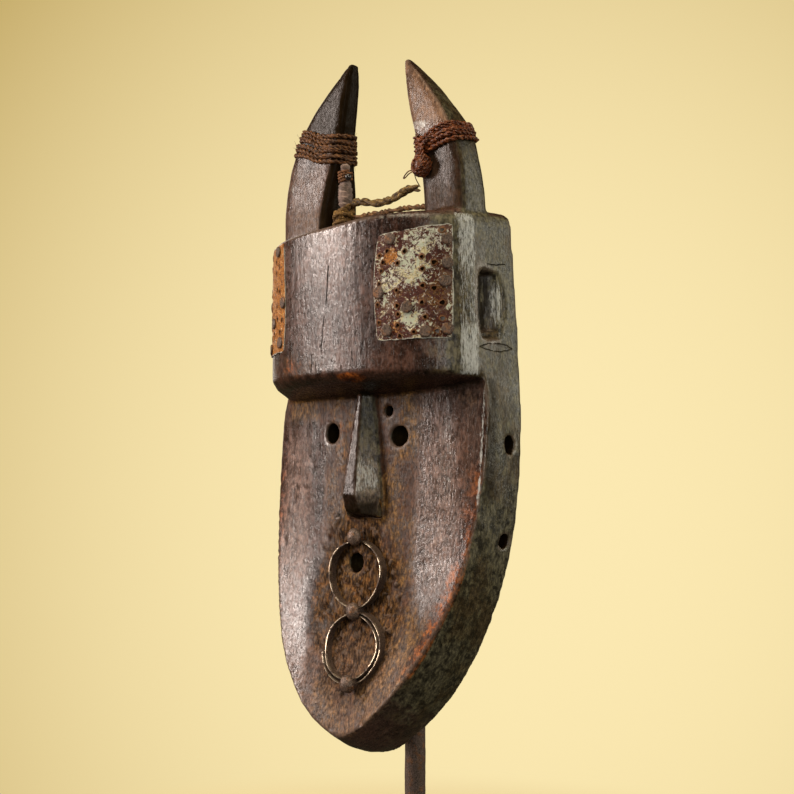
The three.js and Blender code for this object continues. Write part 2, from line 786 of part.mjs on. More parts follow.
// A stud with a domed head that laps over the rings, on a thin shank
function studGeometry() {
  const under = RING_STAND + 1.5;
  const shank = [[0, GAP], [STUD_SHANK, GAP], [STUD_SHANK, under]];
  const profile = shank.map(([x, y]) => new THREE.Vector2(x, y));
  const steps = 4;
  for (let k = 0; k <= steps; k += 1) {
    const angle = (Math.PI / 2) * (k / steps);
    profile.push(new THREE.Vector2(STUD_RADIUS * Math.cos(angle), under + STUD_DOME * Math.sin(angle)));
  }
  profile[profile.length - 1].x = 0;
  return new THREE.LatheGeometry(profile, 14);
}

function chinStud(number) {
  const [x, height] = [STUD_X[number], STUD_HEIGHTS[number]];
  const stud = piece(`chin_stud_${number + 1}`, studGeometry(), rustyIron);
  stud.position.set(x, faceY(x, height), height);
  stud.rotation.set(Math.PI, 0, 0);
  return stud;
}

// Cord wraps and their knot

function wrapGeometry({ side, low, high, slant, tilt }) {
  const sections = [];
  const rows = 3;
  for (let k = 0; k < HORN_SIDES; k += 1) {
    const angle = (2 * Math.PI * (k + 0.5)) / HORN_SIDES;
    const shift = slant * Math.cos(angle) + tilt * Math.sin(angle);
    const section = [];
    for (let r = 0; r <= rows; r += 1) {
      section.push(hornPoint(side, THREE.MathUtils.lerp(low, high, r / rows) + shift, angle, GAP + 0.1));
    }
    for (let r = rows; r >= 0; r -= 1) {
      const round = r === 0 || r === rows ? 0.6 : 1;
      const height = THREE.MathUtils.lerp(low, high, r / rows) + shift;
      section.push(hornPoint(side, height, angle, GAP + WRAP_THICKNESS * round));
    }
    sections.push(section);
  }
  return loop(sections);
}

function wrapWithKnot(wrap) {
  const knot = turned(new THREE.SphereGeometry(WRAP_KNOT_RADIUS, 14, 10), [0, 0, 0], WRAP_KNOT);
  const neck = turned(new THREE.SphereGeometry(1, 14, 10).scale(...WRAP_NECK_RADII), [0, 0, 0], WRAP_NECK);
  const whole = solidOf(wrapGeometry(wrap)).add(solidOf(knot)).add(solidOf(neck));
  return geometryOf(whole.subtract(solidOf(hornGeometry(wrap.side, GAP))));
}

// The peg between the horns and what is tied to it

// A closed column of round sections on the peg's line, from rows of height and radius
function column(rows, sides) {
  return loft(rows.map(([height, radius]) => circle(radius, height, sides)));
}

function circle(radius, height, sides) {
  const ring = [];
  for (let k = 0; k < sides; k += 1) {
    const angle = (2 * Math.PI * k) / sides;
    ring.push([PEG[0] + radius * Math.cos(angle), PEG[1] + radius * Math.sin(angle), height]);
  }
  return ring;
}

// A collar round the peg, from rows of height and outer radius
function collar(rows, sides) {
  const outer = rows.map(([height, radius]) => circle(radius, height, sides));
  const inner = [...rows].reverse().map(([height]) => circle(PEG_RADIUS + GAP, height, sides));
  const all = [...outer, ...inner];
  const sections = [];
  for (let k = 0; k < sides; k += 1) sections.push(all.map((ring) => ring[k]));
  return loop(sections);
}

function pegGeometry() {
  return column([
    [PEG_FOOT, PEG_RADIUS],
    [PEG_TOP - 6, PEG_RADIUS],
    [PEG_TOP - 1, PEG_RADIUS * 0.8],
    [PEG_TOP, PEG_RADIUS * 0.4],
  ], 12);
}

function pegBindingGeometry() {
  const [low, high] = PEG_BINDING;
  return collar([
    [low, PEG_RADIUS + 1],
    [low + 2, PEG_BINDING_RADIUS],
    [high - 2, PEG_BINDING_RADIUS],
    [high, PEG_RADIUS + 1],
  ], 12);
}

function pegKnotGeometry() {
  const low = PEG_FOOT;
  return collar([
    [low, PEG_KNOT_RADIUS - 1.5],
    [low + 4, PEG_KNOT_RADIUS],
    [PEG_KNOT_TOP - 8, PEG_KNOT_RADIUS],
    [PEG_KNOT_TOP, PEG_RADIUS + 1.6],
  ], 14);
}

function cordGeometry(route, radius) {
  const path = new THREE.CatmullRomCurve3(route.map((p) => new THREE.Vector3(...p)));
  return tube(path, radius, 8, Math.round(path.getLength() / (5 * radius)));
}

// The iron stand

function rodGeometry() {
  const low = FOOT_THICKNESS - CHIN_HEIGHT + GAP;
  const middle = (ROD_CRANK_START + ROD_CRANK_END) / 2;
  const path = new THREE.CurvePath();
  const start = new THREE.Vector3(0, 0, ROD_CRANK_START);
  const end = new THREE.Vector3(0, -ROD_CRANK_REACH, ROD_CRANK_END);
  path.add(new THREE.LineCurve3(new THREE.Vector3(0, 0, low), start));
  path.add(new THREE.CubicBezierCurve3(
    start,
    new THREE.Vector3(0, 0, middle),
    new THREE.Vector3(0, -ROD_CRANK_REACH, middle),
    end,
  ));
  path.add(new THREE.LineCurve3(end, new THREE.Vector3(0, -ROD_CRANK_REACH, CEILING - GAP)));
  return tube(path, ROD_RADIUS, 12, 24);
}

function footGeometry() {
  const half = FOOT_SIDE / 2;
  const square = (inset, height) => [[1, 1], [-1, 1], [-1, -1], [1, -1]]
    .map(([x, y]) => [x * (half - inset), y * (half - inset), height]);
  return loft([
    square(FOOT_CHAMFER, 0),
    square(0, FOOT_CHAMFER),
    square(0, FOOT_THICKNESS - FOOT_CHAMFER),
    square(FOOT_CHAMFER, FOOT_THICKNESS),
  ]);
}

// The whole object

const raised = new THREE.Group();
raised.position.set(0, MASK_BACK_Y, CHIN_HEIGHT);
raised.add(piece('mask', maskGeometry(), darkWood));
for (const [side, word] of [[-1, 'left'], [1, 'right']]) {
  raised.add(piece(`tin_plate_${word}`, plateGeometry(side), paintedTin));
  PLATE_NAILS.forEach(([along, up], number) => raised.add(plateNail(side, number, along, up)));
}
RING_HEIGHTS.forEach((_, number) => {
  raised.add(piece(`chin_ring_${number + 1}`, ringGeometry(number), wornIron));
});
STUD_HEIGHTS.forEach((_, number) => raised.add(chinStud(number)));
raised.add(piece('horn_cord_left', wrapGeometry(WRAPS[0]), redCord));
raised.add(piece('horn_cord_right', wrapWithKnot(WRAPS[1]), redCord));
raised.add(piece('peg', pegGeometry(), greyStick));
raised.add(piece('peg_binding', pegBindingGeometry(), redCord));
raised.add(piece('peg_knot', pegKnotGeometry(), paleCord));
raised.add(piece('cord_upper', cordGeometry(UPPER_CORD, UPPER_CORD_RADIUS), paleCord));
raised.add(piece('cord_lower', cordGeometry(LOWER_CORD, LOWER_CORD_RADIUS), paleCord));

const pegNail = piece('peg_nail', new THREE.SphereGeometry(PEG_NAIL_RADIUS, 10, 6), rustyIron);
pegNail.position.set(PEG[0] + PEG_NAIL[0], PEG[1] + PEG_NAIL[1], PEG_NAIL[2]);
raised.add(pegNail);
raised.add(piece('stand_rod', rodGeometry(), standIron));

const mask = new THREE.Group();
mask.add(raised);
mask.add(piece('stand_foot', footGeometry(), standIron));

export default mask;
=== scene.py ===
# A Toma mask of carved wood with horns, tin plates, iron rings and fibre cords, on its iron stand.
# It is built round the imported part. Sizes are written in millimetres and turned to metres where
# a mesh is made. The mask's own places count heights from the lowest point of its chin and depths
# from its open back, as in the part's source.
import itertools
import math
from contextlib import contextmanager

import bmesh
import bpy
import numpy as np
from mathutils import Matrix, Vector
from mathutils.bvhtree import BVHTree
from mathutils.geometry import delaunay_2d_cdt
from mathutils.kdtree import KDTree


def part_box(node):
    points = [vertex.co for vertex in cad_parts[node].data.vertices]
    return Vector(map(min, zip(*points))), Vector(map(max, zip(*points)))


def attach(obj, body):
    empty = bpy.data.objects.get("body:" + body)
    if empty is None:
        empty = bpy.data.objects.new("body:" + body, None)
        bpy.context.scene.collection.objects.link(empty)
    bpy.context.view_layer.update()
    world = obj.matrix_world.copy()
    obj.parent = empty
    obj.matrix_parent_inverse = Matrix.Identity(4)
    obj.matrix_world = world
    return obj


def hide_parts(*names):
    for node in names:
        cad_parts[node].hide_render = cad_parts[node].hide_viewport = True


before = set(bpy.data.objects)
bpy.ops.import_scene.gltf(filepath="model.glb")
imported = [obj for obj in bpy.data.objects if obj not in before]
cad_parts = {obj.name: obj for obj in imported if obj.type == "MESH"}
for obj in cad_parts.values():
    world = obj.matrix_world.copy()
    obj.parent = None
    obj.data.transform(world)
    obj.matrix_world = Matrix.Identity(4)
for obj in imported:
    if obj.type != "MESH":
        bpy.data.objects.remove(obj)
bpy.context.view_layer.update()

MM = 0.001
MASK_BACK_Y = 25
CHIN_HEIGHT = 97
MASK_ORIGIN = np.array((0, MASK_BACK_Y, CHIN_HEIGHT))

# Places well clear of the mask, in its millimetres, and the ways that rays go from them to its surface
FAR_FRONT, FAR_RIGHT = -140, 140
BACKWARD, LEFTWARD = Vector((0, 1, 0)), Vector((-1, 0, 0))


def place(x, y, height):
    """A place on the mask in millimetres, as a point in metres."""
    return Vector((x, y + MASK_BACK_Y, height + CHIN_HEIGHT)) * MM


def in_mask(point):
    """A point in metres as a place on the mask in millimetres."""
    return np.array(point) / MM - MASK_ORIGIN


# Camera, cords, stage and light


CAMERA_PLACE = (0.681867, -0.711842, 0.283953)
CAMERA_AZIMUTH = 43.5169
CAMERA_RISE = 3.4896
CAMERA_LENS = 63.218

# The backdrop is brightest a little to the right of the mask and below the middle of its height
GLOW_CENTRE = (0.085, -0.088)
GLOW_FALL = (4.5, 3.65)

UPPER_CORD_RADIUS = 2.4
UPPER_CORD = [
    (-24.1, -38.8, 387.6), (-18.6, -39, 387.2), (-12.7, -39.4, 386.3), (-4, -39.8, 384.4),
    (5, -40.3, 383.3), (13.6, -40.7, 383.7), (20.8, -41.1, 385.3), (27.8, -41.5, 387.3),
    (36.1, -41.9, 388.8), (43.6, -42.3, 389),
]
LOWER_CORD_RADIUS = 1.7
LOWER_CORD = [
    (-24.1, -38.5, 376.4), (-16, -38.6, 376.6), (-7.6, -38.8, 376.7), (1, -39, 376.5),
    (9.4, -39.2, 376.3), (17.7, -39.4, 376.3), (26, -39.5, 376.4), (34.1, -39.7, 375.9),
    (42.1, -39.9, 375.2), (48.6, -40, 374.6),
]


def add_camera():
    turn = (math.radians(90 + CAMERA_RISE), 0, math.radians(CAMERA_AZIMUTH))
    bpy.ops.object.camera_add(location=CAMERA_PLACE, rotation=turn)
    camera = bpy.context.object
    camera.data.lens = CAMERA_LENS
    camera.data.sensor_width = 36
    bpy.context.scene.camera = camera


# Shared helpers: noise, meshes and sweeps


# Numbers that turn a cell of the noise into a value without a pattern
HASH_STEPS = np.array((374761393, 668265263, 974711593))
HASH_FACTOR = 1274126177
HASH_BITS = 0x7FFFFFFF


def noise(points, size, seed=0):
    """Smooth noise from -1 to 1 at each point, in lumps of that size: a number, or one for each axis."""
    scaled = points / np.asarray(size, float) + seed * 17.31
    cell = np.floor(scaled).astype(np.int64)
    part = scaled - cell
    part = part * part * (3 - 2 * part)
    total = np.zeros(len(points))
    for corner in itertools.product((0, 1), repeat=3):
        mixed = ((cell + corner) * HASH_STEPS).sum(1) & HASH_BITS
        mixed = ((mixed ^ (mixed >> 13)) * HASH_FACTOR) & HASH_BITS
        value = ((mixed ^ (mixed >> 16)) & 0xFFFF) / 32767.5 - 1
        total += value * np.prod(np.where(corner, part, 1 - part), axis=1)
    return total


def layered(points, size, seed=0, layers=3):
    """Noise with finer and fainter layers added."""
    total = np.zeros(len(points))
    for k in range(layers):
        total += noise(points, np.asarray(size, float) / 2 ** k, seed + k) / 2 ** k
    return total / (2 - 2 ** (1 - layers))


def ease(low, high, value):
    """0 below low, 1 above high, and smooth between."""
    t = np.clip((np.asarray(value, float) - low) / (high - low), 0, 1)
    return t * t * (3 - 2 * t)


def fade(low, high, value):
    """1 below low, 0 above high, and smooth between."""
    return 1 - ease(low, high, value)


def spot(points, centre, size, softness=0.5):
    """1 inside an oval round a centre, fading to 0 past it. A size of None leaves that axis out."""
    away = np.zeros(len(points))
    for axis in range(3):
        if size[axis]:
            away += ((points[:, axis] - centre[axis]) / size[axis]) ** 2
    return fade(1 - softness, 1 + softness, np.sqrt(away))


def strongest(*layers):
    """At each point the highest of the layers."""
    return np.maximum.reduce(layers)


def choose(obj):
    """Makes this the one selected object."""
    if bpy.context.object and bpy.context.object.mode != "OBJECT":
        bpy.ops.object.mode_set(mode="OBJECT")
    bpy.ops.object.select_all(action="DESELECT")
    obj.select_set(True)
    bpy.context.view_layer.objects.active = obj


@contextmanager
def editing(obj):
    """The object in edit mode, with all of it selected."""
    choose(obj)
    bpy.ops.object.mode_set(mode="EDIT")
    bpy.ops.mesh.select_all(action="SELECT")
    yield
    bpy.ops.object.mode_set(mode="OBJECT")


@contextmanager
def reshaping(obj):
    """The object's mesh as an editable one, written back at the end."""
    shape = bmesh.new()
    shape.from_mesh(obj.data)
    yield shape
    shape.to_mesh(obj.data)
    shape.free()


def mesh_object(name, points, faces):
    """A new mesh object from points in metres."""
    mesh = bpy.data.meshes.new(name)
    mesh.from_pydata([tuple(p) for p in points], [], faces)
    mesh.validate()
    obj = bpy.data.objects.new(name, mesh)
    bpy.context.scene.collection.objects.link(obj)
    return obj


def settle(obj):
    """Puts an object's place into its mesh."""
    choose(obj)
    bpy.ops.object.transform_apply(location=True, rotation=True, scale=True)


def modify(obj, kind, **settings):
    """Adds a modifier and applies it."""
    modifier = obj.modifiers.new(kind.lower(), kind)
    for key, value in settings.items():
        setattr(modifier, key, value)
    choose(obj)
    bpy.ops.object.modifier_apply(modifier=modifier.name)


def read(items, name, width, kind=float):
    """One row of numbers for each of a mesh's items."""
    flat = np.zeros(len(items) * width, kind)
    items.foreach_get(name, flat)
    return flat.reshape(-1, width)


def points_of(obj):
    """The mesh's points in the mask's own millimetres."""
    return read(obj.data.vertices, "co", 3) / MM - MASK_ORIGIN


def set_points(obj, points):
    obj.data.vertices.foreach_set("co", ((points + MASK_ORIGIN) * MM).ravel())
    obj.data.update()


def normals_of(obj):
    return read(obj.data.vertex_normals, "vector", 3)


def edges_of(obj):
    return read(obj.data.edges, "vertices", 2, np.int32)


def averaged(values, edges, times, weight=1.0, back=0.0):
    """Values at a mesh's points, moved towards the mean of their neighbours some number of times.

    With back, each step is followed by one the other way, which keeps the size of the form.
    """
    count = np.maximum(np.bincount(edges.ravel(), minlength=len(values)), 1)
    columns = values.reshape(len(values), -1).T.copy()
    for _ in range(times):
        for share in (0.5, -back) if back else (0.5,):
            for column in columns:
                total = np.bincount(edges[:, 0], column[edges[:, 1]], len(column))
                total += np.bincount(edges[:, 1], column[edges[:, 0]], len(column))
                column += share * weight * (total / count - column)
    return columns.T.reshape(values.shape)


def write_mask(obj, name, values):
    attribute = obj.data.attributes.new(name, "FLOAT", "POINT")
    attribute.data.foreach_set("value", np.clip(values, 0, 1).astype(np.float32))


def finish_piece(obj, material, slot, *nodes, smooth):
    """Gives a piece its finish, its body and the nodes that it stands for."""
    obj.data.materials.clear()
    obj.data.materials.append(material)
    choose(obj)
    bpy.ops.object.shade_smooth_by_angle(angle=math.radians(smooth))
    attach(obj, "root")
    if nodes:
        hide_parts(*nodes)
    return obj


def lengths_along(route):
    """How far along a route each of its points is."""
    return np.concatenate([[0], np.cumsum(np.linalg.norm(np.diff(route, axis=0), axis=1))])


def across_route(route):
    """Two directions across a route at each of its points, which don't spin round it."""
    along = np.gradient(route, axis=0)
    along /= np.linalg.norm(along, axis=1)[:, None]
    across = np.cross(along[0], (0.31, 0.17, 0.94))
    sides = []
    for way in along:
        across = across - way * across.dot(way)
        across /= np.linalg.norm(across)
        sides.append(across)
    return np.array(sides), np.cross(along, sides)


def tube_faces(rings, sides, start=0):
    """The faces of a closed tube whose points come ring by ring, with its two ends last."""
    rows = [[start + ring * sides + side for side in range(sides)] for ring in range(rings)]
    faces = []
    for low, high in zip(rows, rows[1:]):
        for k in range(sides):
            after = (k + 1) % sides
            faces.append((low[k], low[after], high[after], high[k]))
    return faces + [tuple(rows[0][::-1]), tuple(rows[-1])]


class Sweep:
    """Tubes gathered into one mesh, each with its own length and turn as texture coordinates."""

    def __init__(self):
        self.points, self.faces, self.coordinates = [], [], []

    def tube(self, route, radius, sides=6):
        """A tube along a route in the mask's millimetres. Radius is a number, or one for each point."""
        route = np.asarray(route, float)
        radii = np.broadcast_to(radius, len(route))[:, None, None]
        across, other = across_route(route)
        angles = 2 * np.pi * np.arange(sides)[:, None] / sides
        round_it = np.cos(angles) * across[:, None] + np.sin(angles) * other[:, None]
        self.faces += tube_faces(len(route), sides, len(self.points))
        self.points += list((route[:, None] + radii * round_it).reshape(-1, 3))
        lengths = lengths_along(route)
        for low, high in zip(lengths, lengths[1:]):
            for side in range(sides):
                left, right = side / sides, (side + 1) / sides
                self.coordinates += [(low, left), (low, right), (high, right), (high, left)]
        self.coordinates += [(lengths[0], 0.5)] * sides + [(lengths[-1], 0.5)] * sides

    def object(self, name):
        obj = mesh_object(name, (np.array(self.points) + MASK_ORIGIN) * MM, self.faces)
        layer = obj.data.uv_layers.new(name="Length")
        layer.data.foreach_set("uv", np.array(self.coordinates, np.float32).ravel())
        return obj


def fine_route(points, step):
    """A smooth curve through points, cut in steps of about that length."""
    points = np.asarray(points, float)
    padded = np.vstack([2 * points[0] - points[1], points, 2 * points[-1] - points[-2]])
    route = []
    for k in range(len(points) - 1):
        p0, p1, p2, p3 = padded[k:k + 4]
        count = max(int(np.linalg.norm(p2 - p1) / step), 1)
        for t in np.arange(count) / count:
            route.append(0.5 * (2 * p1 + (p2 - p0) * t + (2 * p0 - 5 * p1 + 4 * p2 - p3) * t * t
                                + (3 * p1 - p0 - 3 * p2 + p3) * t ** 3))
    route.append(points[-1])
    return np.array(route)


def twisted(route, count, offset, turns_per_mm, start, wobble, seed):
    """Routes of strands twisted round one another along a route."""
    lengths = lengths_along(route)
    sides, others = across_route(route)
    uneven = noise(np.column_stack([lengths, lengths * 0, lengths * 0]), 9.0, seed) * wobble
    reach = np.broadcast_to(offset, len(route))[:, None]
    strands = []
    for k in range(count):
        angle = (start + 2 * np.pi * (lengths * turns_per_mm + k / count) + uneven)[:, None]
        strands.append(route + reach * (np.cos(angle) * sides + np.sin(angle) * others))
    return strands


# Materials


class Level:
    """A number, colour or direction that changes over a surface: plain sums of these add the nodes."""

    def __init__(self, socket):
        self.socket = socket
        self.tree = socket.id_data

    def __add__(self, other):
        return maths(self.tree, "ADD", self, other)

    def __sub__(self, other):
        return maths(self.tree, "SUBTRACT", self, other)

    def __rsub__(self, other):
        return maths(self.tree, "SUBTRACT", other, self)

    def __mul__(self, other):
        return maths(self.tree, "MULTIPLY", self, other)

    def __pow__(self, other):
        return maths(self.tree, "POWER", self, other)

    def __truediv__(self, other):
        return maths(self.tree, "DIVIDE", self, other)

    def clamped(self):
        """The same sum, held between 0 and 1."""
        self.socket.node.use_clamp = True
        return self

    def between(self, low, high, start=0.0, end=1.0):
        """Goes smoothly from start to end while this goes from low to high."""
        inputs = {"Value": self, "From Min": low, "From Max": high, "To Min": start, "To Max": end}
        return Level(add(self.tree, "ShaderNodeMapRange", inputs, interpolation_type="SMOOTHSTEP").outputs[0])

    def mix(self, first, second):
        """The first colour where this is 0 and the second where it is 1."""
        return mix(self.tree, self, first, second)


def feed(node, values):
    """Links levels to a node's sockets by name or number, and sets plain values on them."""
    for key, value in dict(values).items():
        value = getattr(value, "socket", value)
        if isinstance(value, bpy.types.NodeSocket):
            node.id_data.links.new(value, node.inputs[key])
        else:
            node.inputs[key].default_value = value


def add(tree, kind, inputs=(), **settings):
    """A shader node with its settings and what feeds it."""
    node = tree.nodes.new(kind)
    for key, value in settings.items():
        setattr(node, key, value)
    feed(node, inputs)
    return node


def vector_maths(tree, operation, *inputs, output=0):
    node = add(tree, "ShaderNodeVectorMath", dict(enumerate(inputs)), operation=operation)
    return Level(node.outputs[output])


def object_place(tree, scale=(1, 1, 1)):
    """Object coordinates in millimetres, stretched by a scale."""
    start = add(tree, "ShaderNodeTexCoord").outputs["Object"]
    size = tuple(part / MM for part in scale)
    return Level(add(tree, "ShaderNodeMapping", {"Vector": start, "Scale": size}).outputs[0])


def lumps(where, size, detail, roughness=0.55, twist=0.0):
    """Noise about 0.5 with lumps of that many millimetres."""
    inputs = {"Vector": where, "Scale": 1 / size, "Detail": detail, "Roughness": roughness,
              "Distortion": twist}
    return Level(add(where.tree, "ShaderNodeTexNoise", inputs).outputs["Fac"])


def maths(tree, operation, first, second):
    return Level(add(tree, "ShaderNodeMath", {0: first, 1: second}, operation=operation).outputs[0])


def mix(tree, factor, first, second, blend="MIX"):
    """A mix of two colours."""
    node = add(tree, "ShaderNodeMix", data_type="RGBA", blend_type=blend)
    colours = [(*value, 1) if isinstance(value, tuple) else value for value in (first, second)]
    feed(node, {0: factor, 6: colours[0], 7: colours[1]})
    return Level(node.outputs[2])


def mask_of(tree, name):
    return Level(add(tree, "ShaderNodeAttribute", attribute_name=name).outputs["Fac"])


def new_group(name, inputs, outputs):
    """A node group with sockets given as names and kinds: its tree, what it is given and where it ends."""
    tree = bpy.data.node_groups.new(name, "ShaderNodeTree")
    for direction, sockets in (("INPUT", inputs), ("OUTPUT", outputs)):
        for socket, kind in sockets.items():
            tree.interface.new_socket(socket, in_out=direction, socket_type=kind)
    given = add(tree, "NodeGroupInput")
    return tree, {name: Level(given.outputs[name]) for name in inputs}, add(tree, "NodeGroupOutput")


def use(tree, group, inputs):
    """What a node group puts out, by name."""
    outputs = add(tree, "ShaderNodeGroup", inputs, node_tree=group).outputs
    return {output.name: Level(output) for output in outputs}


def new_material(name):
    material = bpy.data.materials.new(name)
    material.use_nodes = True
    tree = material.node_tree
    return material, tree, tree.nodes["Principled BSDF"]


def bump(height, strength, distance):
    inputs = {"Height": height, "Strength": strength, "Distance": distance * MM}
    return Level(add(height.tree, "ShaderNodeBump", inputs).outputs[0])


VALUE, COLOR, VECTOR = "NodeSocketFloat", "NodeSocketColor", "NodeSocketVector"


def grain_group():
    """Wood fibre along Z: fine streaks, broader stripes and dark pores."""
    tree, given, result = new_group(
        "Wood fibre", {"Place": VECTOR, "Along": VALUE}, {"Streak": VALUE, "Stripe": VALUE, "Pores": VALUE})
    parts = add(tree, "ShaderNodeSeparateXYZ", {0: given["Place"]}).outputs
    wander = lumps(given["Place"], 38, 2) * 9.0
    side = Level(parts[0]) + wander
    height = Level(parts[2]) * given["Along"]

    def drawn_out(up):
        return Level(add(tree, "ShaderNodeCombineXYZ", {0: side, 1: parts[1], 2: up}).outputs[0])

    stretched, longer = drawn_out(height), drawn_out(height * 0.45)
    feed(result, {"Streak": lumps(stretched, 0.75, 3, 0.65), "Stripe": lumps(longer, 3.6, 4, 0.6),
                  "Pores": lumps(stretched, 0.5, 2, 0.5).between(0.27, 0.36)})
    return tree


def rust_group():
    """Rusted iron: its colour, from dark or grey to orange, and a height."""
    tree, given, result = new_group(
        "Rust", {"Place": VECTOR, "Orange": VALUE, "Grey": VALUE},
        {"Color": COLOR, "Height": VALUE, "Fine": VALUE})
    patch = lumps(given["Place"], 4.5, 5, 0.65)
    fine = lumps(given["Place"], 0.8, 4, 0.65)
    dark = fine.between(0.35, 0.65).mix((0.014, 0.008, 0.006), (0.085, 0.045, 0.025))
    grey = fine.between(0.36, 0.64).mix((0.045, 0.030, 0.024), (0.26, 0.19, 0.15))
    dark = given["Grey"].mix(dark, grey)
    orange = fine.between(0.35, 0.65).mix((0.09, 0.035, 0.012), (0.30, 0.13, 0.045))
    level = patch + (given["Orange"] - 0.5)
    feed(result, {"Color": level.between(0.42, 0.62).mix(dark, orange), "Height": patch * 0.6 + fine * 0.6,
                  "Fine": fine})
    return tree


def fibre_group():
    """Loose plant fibre along a strand, from its own length and turn."""
    tree, given, result = new_group("Fibre", {"Slant": VALUE}, {"Hair": VALUE, "Stain": VALUE})
    uv = add(tree, "ShaderNodeUVMap", uv_map="Length").outputs[0]
    along, turn = (Level(part) for part in add(tree, "ShaderNodeSeparateXYZ", {0: uv}).outputs[:2])
    inputs = {0: along * 0.12, 1: turn * 7 + along * given["Slant"], 2: 0.0}
    stretched = Level(add(tree, "ShaderNodeCombineXYZ", inputs).outputs[0])
    feed(result, {"Hair": lumps(stretched, 0.6, 3, 0.6), "Stain": lumps(object_place(tree), 4, 3)})
    return tree


def segment_group():
    """How far a place is from a straight line between two points."""
    tree, given, result = new_group(
        "Segment distance", {"Place": VECTOR, "Start": VECTOR, "Way": VECTOR}, {"Distance": VALUE})
    way = given["Way"]
    away = vector_maths(tree, "SUBTRACT", given["Place"], given["Start"])
    square = vector_maths(tree, "DOT_PRODUCT", way, way, output="Value")
    part = (vector_maths(tree, "DOT_PRODUCT", away, way, output="Value") / square).clamped()
    scaled = add(tree, "ShaderNodeVectorMath", {0: way, "Scale": part}, operation="SCALE").outputs[0]
    rest = vector_maths(tree, "SUBTRACT", away, scaled)
    feed(result, {"Distance": vector_maths(tree, "LENGTH", rest, output="Value")})
    return tree


GRAIN, RUST, FIBRE, SEGMENT = grain_group(), rust_group(), fibre_group(), segment_group()


def line_mask(tree, where, points, width):
    """1 on a thin line through points given in the scene's millimetres, fading over its edges."""
    nearest = None
    for start, end in zip(points[:-1], points[1:]):
        away = use(tree, SEGMENT, {"Place": where, "Start": start, "Way": end - start})["Distance"]
        nearest = away if nearest is None else maths(tree, "MINIMUM", nearest, away)
    return nearest.between(width * 0.45, width * 1.25, 1.0, 0.0)


def patch_of(mask, noise_value, softness):
    """A mask whose edge is broken up by noise."""
    return (mask + (noise_value - 0.5)).between(0.5 - softness, 0.5 + softness)


def wood_colour(masks, grain, cloud, mottle, speck, dusty, scuffs_and_painted_highlight, opened, dots):
    """The wood's colour: patina, then dust, olive sides, paint-like red, crust, painted sheen, pale scuffs
    and painted highlights, painted shade and what is worn or sunk.
    """

    def patch(name, noise_value, softness):
        return patch_of(masks[name], noise_value, softness)

    spots = speck.between(0.26, 0.74)
    patina = cloud.between(0.40, 0.60).mix((0.018, 0.008, 0.006), (0.062, 0.029, 0.020))
    patina = (grain["Stripe"].between(0.42, 0.68) * 0.35).mix(patina, (0.080, 0.040, 0.030))
    patina = (grain["Streak"].between(0.54, 0.72) * 0.3).mix(patina, (0.13, 0.088, 0.07))
    brown = spots.mix((0.070, 0.031, 0.008), (0.215, 0.115, 0.032))
    brown = cloud.between(0.44, 0.60).mix(brown, (0.060, 0.026, 0.013))
    brown = (grain["Streak"].between(0.5, 0.34) * 0.7).mix(brown, (0.028, 0.013, 0.008))
    color = (dusty * mottle.between(0.25, 0.6, 0.45, 1.0) * 0.9).mix(patina, brown)
    olive = spots.mix((0.018, 0.016, 0.008), (0.105, 0.093, 0.048))
    olive = (cloud.between(0.42, 0.62) * 0.6).mix(olive, (0.105, 0.096, 0.062))
    olive = (mottle.between(0.52, 0.38) * 0.85).mix(olive, (0.015, 0.014, 0.009))
    olive = (cloud.between(0.54, 0.40) * 0.8).mix(olive, (0.058, 0.038, 0.016))
    color = (patch("olive", mottle, 0.34) * 0.93).mix(color, olive)
    tan = spots.mix((0.14, 0.080, 0.050), (0.25, 0.150, 0.095))
    tan = (grain["Stripe"].between(0.52, 0.36) * 0.6).mix(tan, (0.055, 0.032, 0.025))
    color = (patch("tan", mottle, 0.36) * 0.9).mix(color, tan)
    red = mottle.between(0.40, 0.62).mix((0.060, 0.013, 0.005), (0.30, 0.085, 0.014))
    color = (patch("red", mottle, 0.26) * 0.85).mix(color, red)
    crust = speck.between(0.38, 0.62).mix((0.024, 0.012, 0.006), (0.112, 0.056, 0.020))
    crust = (mottle.between(0.52, 0.68) * 0.7).mix(crust, (0.15, 0.062, 0.018))
    color = patch("crust", mottle, 0.25).mix(color, crust)
    # Painted sheen: a whitish-pink colour laid where the light's broad reflection falls.
    color = (masks["painted_sheen"] * grain["Streak"].between(0.38, 0.62, 0.25, 1.0)).mix(color, (0.27, 0.185, 0.155))
    grainy = mottle.between(0.38, 0.62, 0.66, 1.35) * speck.between(0.36, 0.64, 0.62, 1.4)
    grainy = grainy ** (1.0 - masks["tan"])
    color = mix(color.tree, 1.0, color, grainy, "MULTIPLY")
    color = (patch("worn", speck, 0.25) * 0.5).mix(color, (0.15, 0.11, 0.088))
    # Pale grey: rubbed scuffs, and painted highlights along the face's right edge, on the nose's ridge, the
    # ear cut's back slope, the right horn and the face's sides.
    color = scuffs_and_painted_highlight.mix(color, (0.58, 0.60, 0.60))
    # Very dark colour where the mask paints shade (the holes, the hollow back, under the brow, the ear cut,
    # the nose's shaded sides and the like), and in a few darker patches.
    color = (patch("dark_and_painted_shade", mottle, 0.28) * 0.94).mix(color, (0.010, 0.006, 0.002))
    color = (masks["sunk"] * 0.85).mix(color, (0.008, 0.005, 0.003))
    color = (dots * 0.7).mix(color, (0.008, 0.005, 0.004))
    return opened.mix(color, (0.005, 0.003, 0.002))


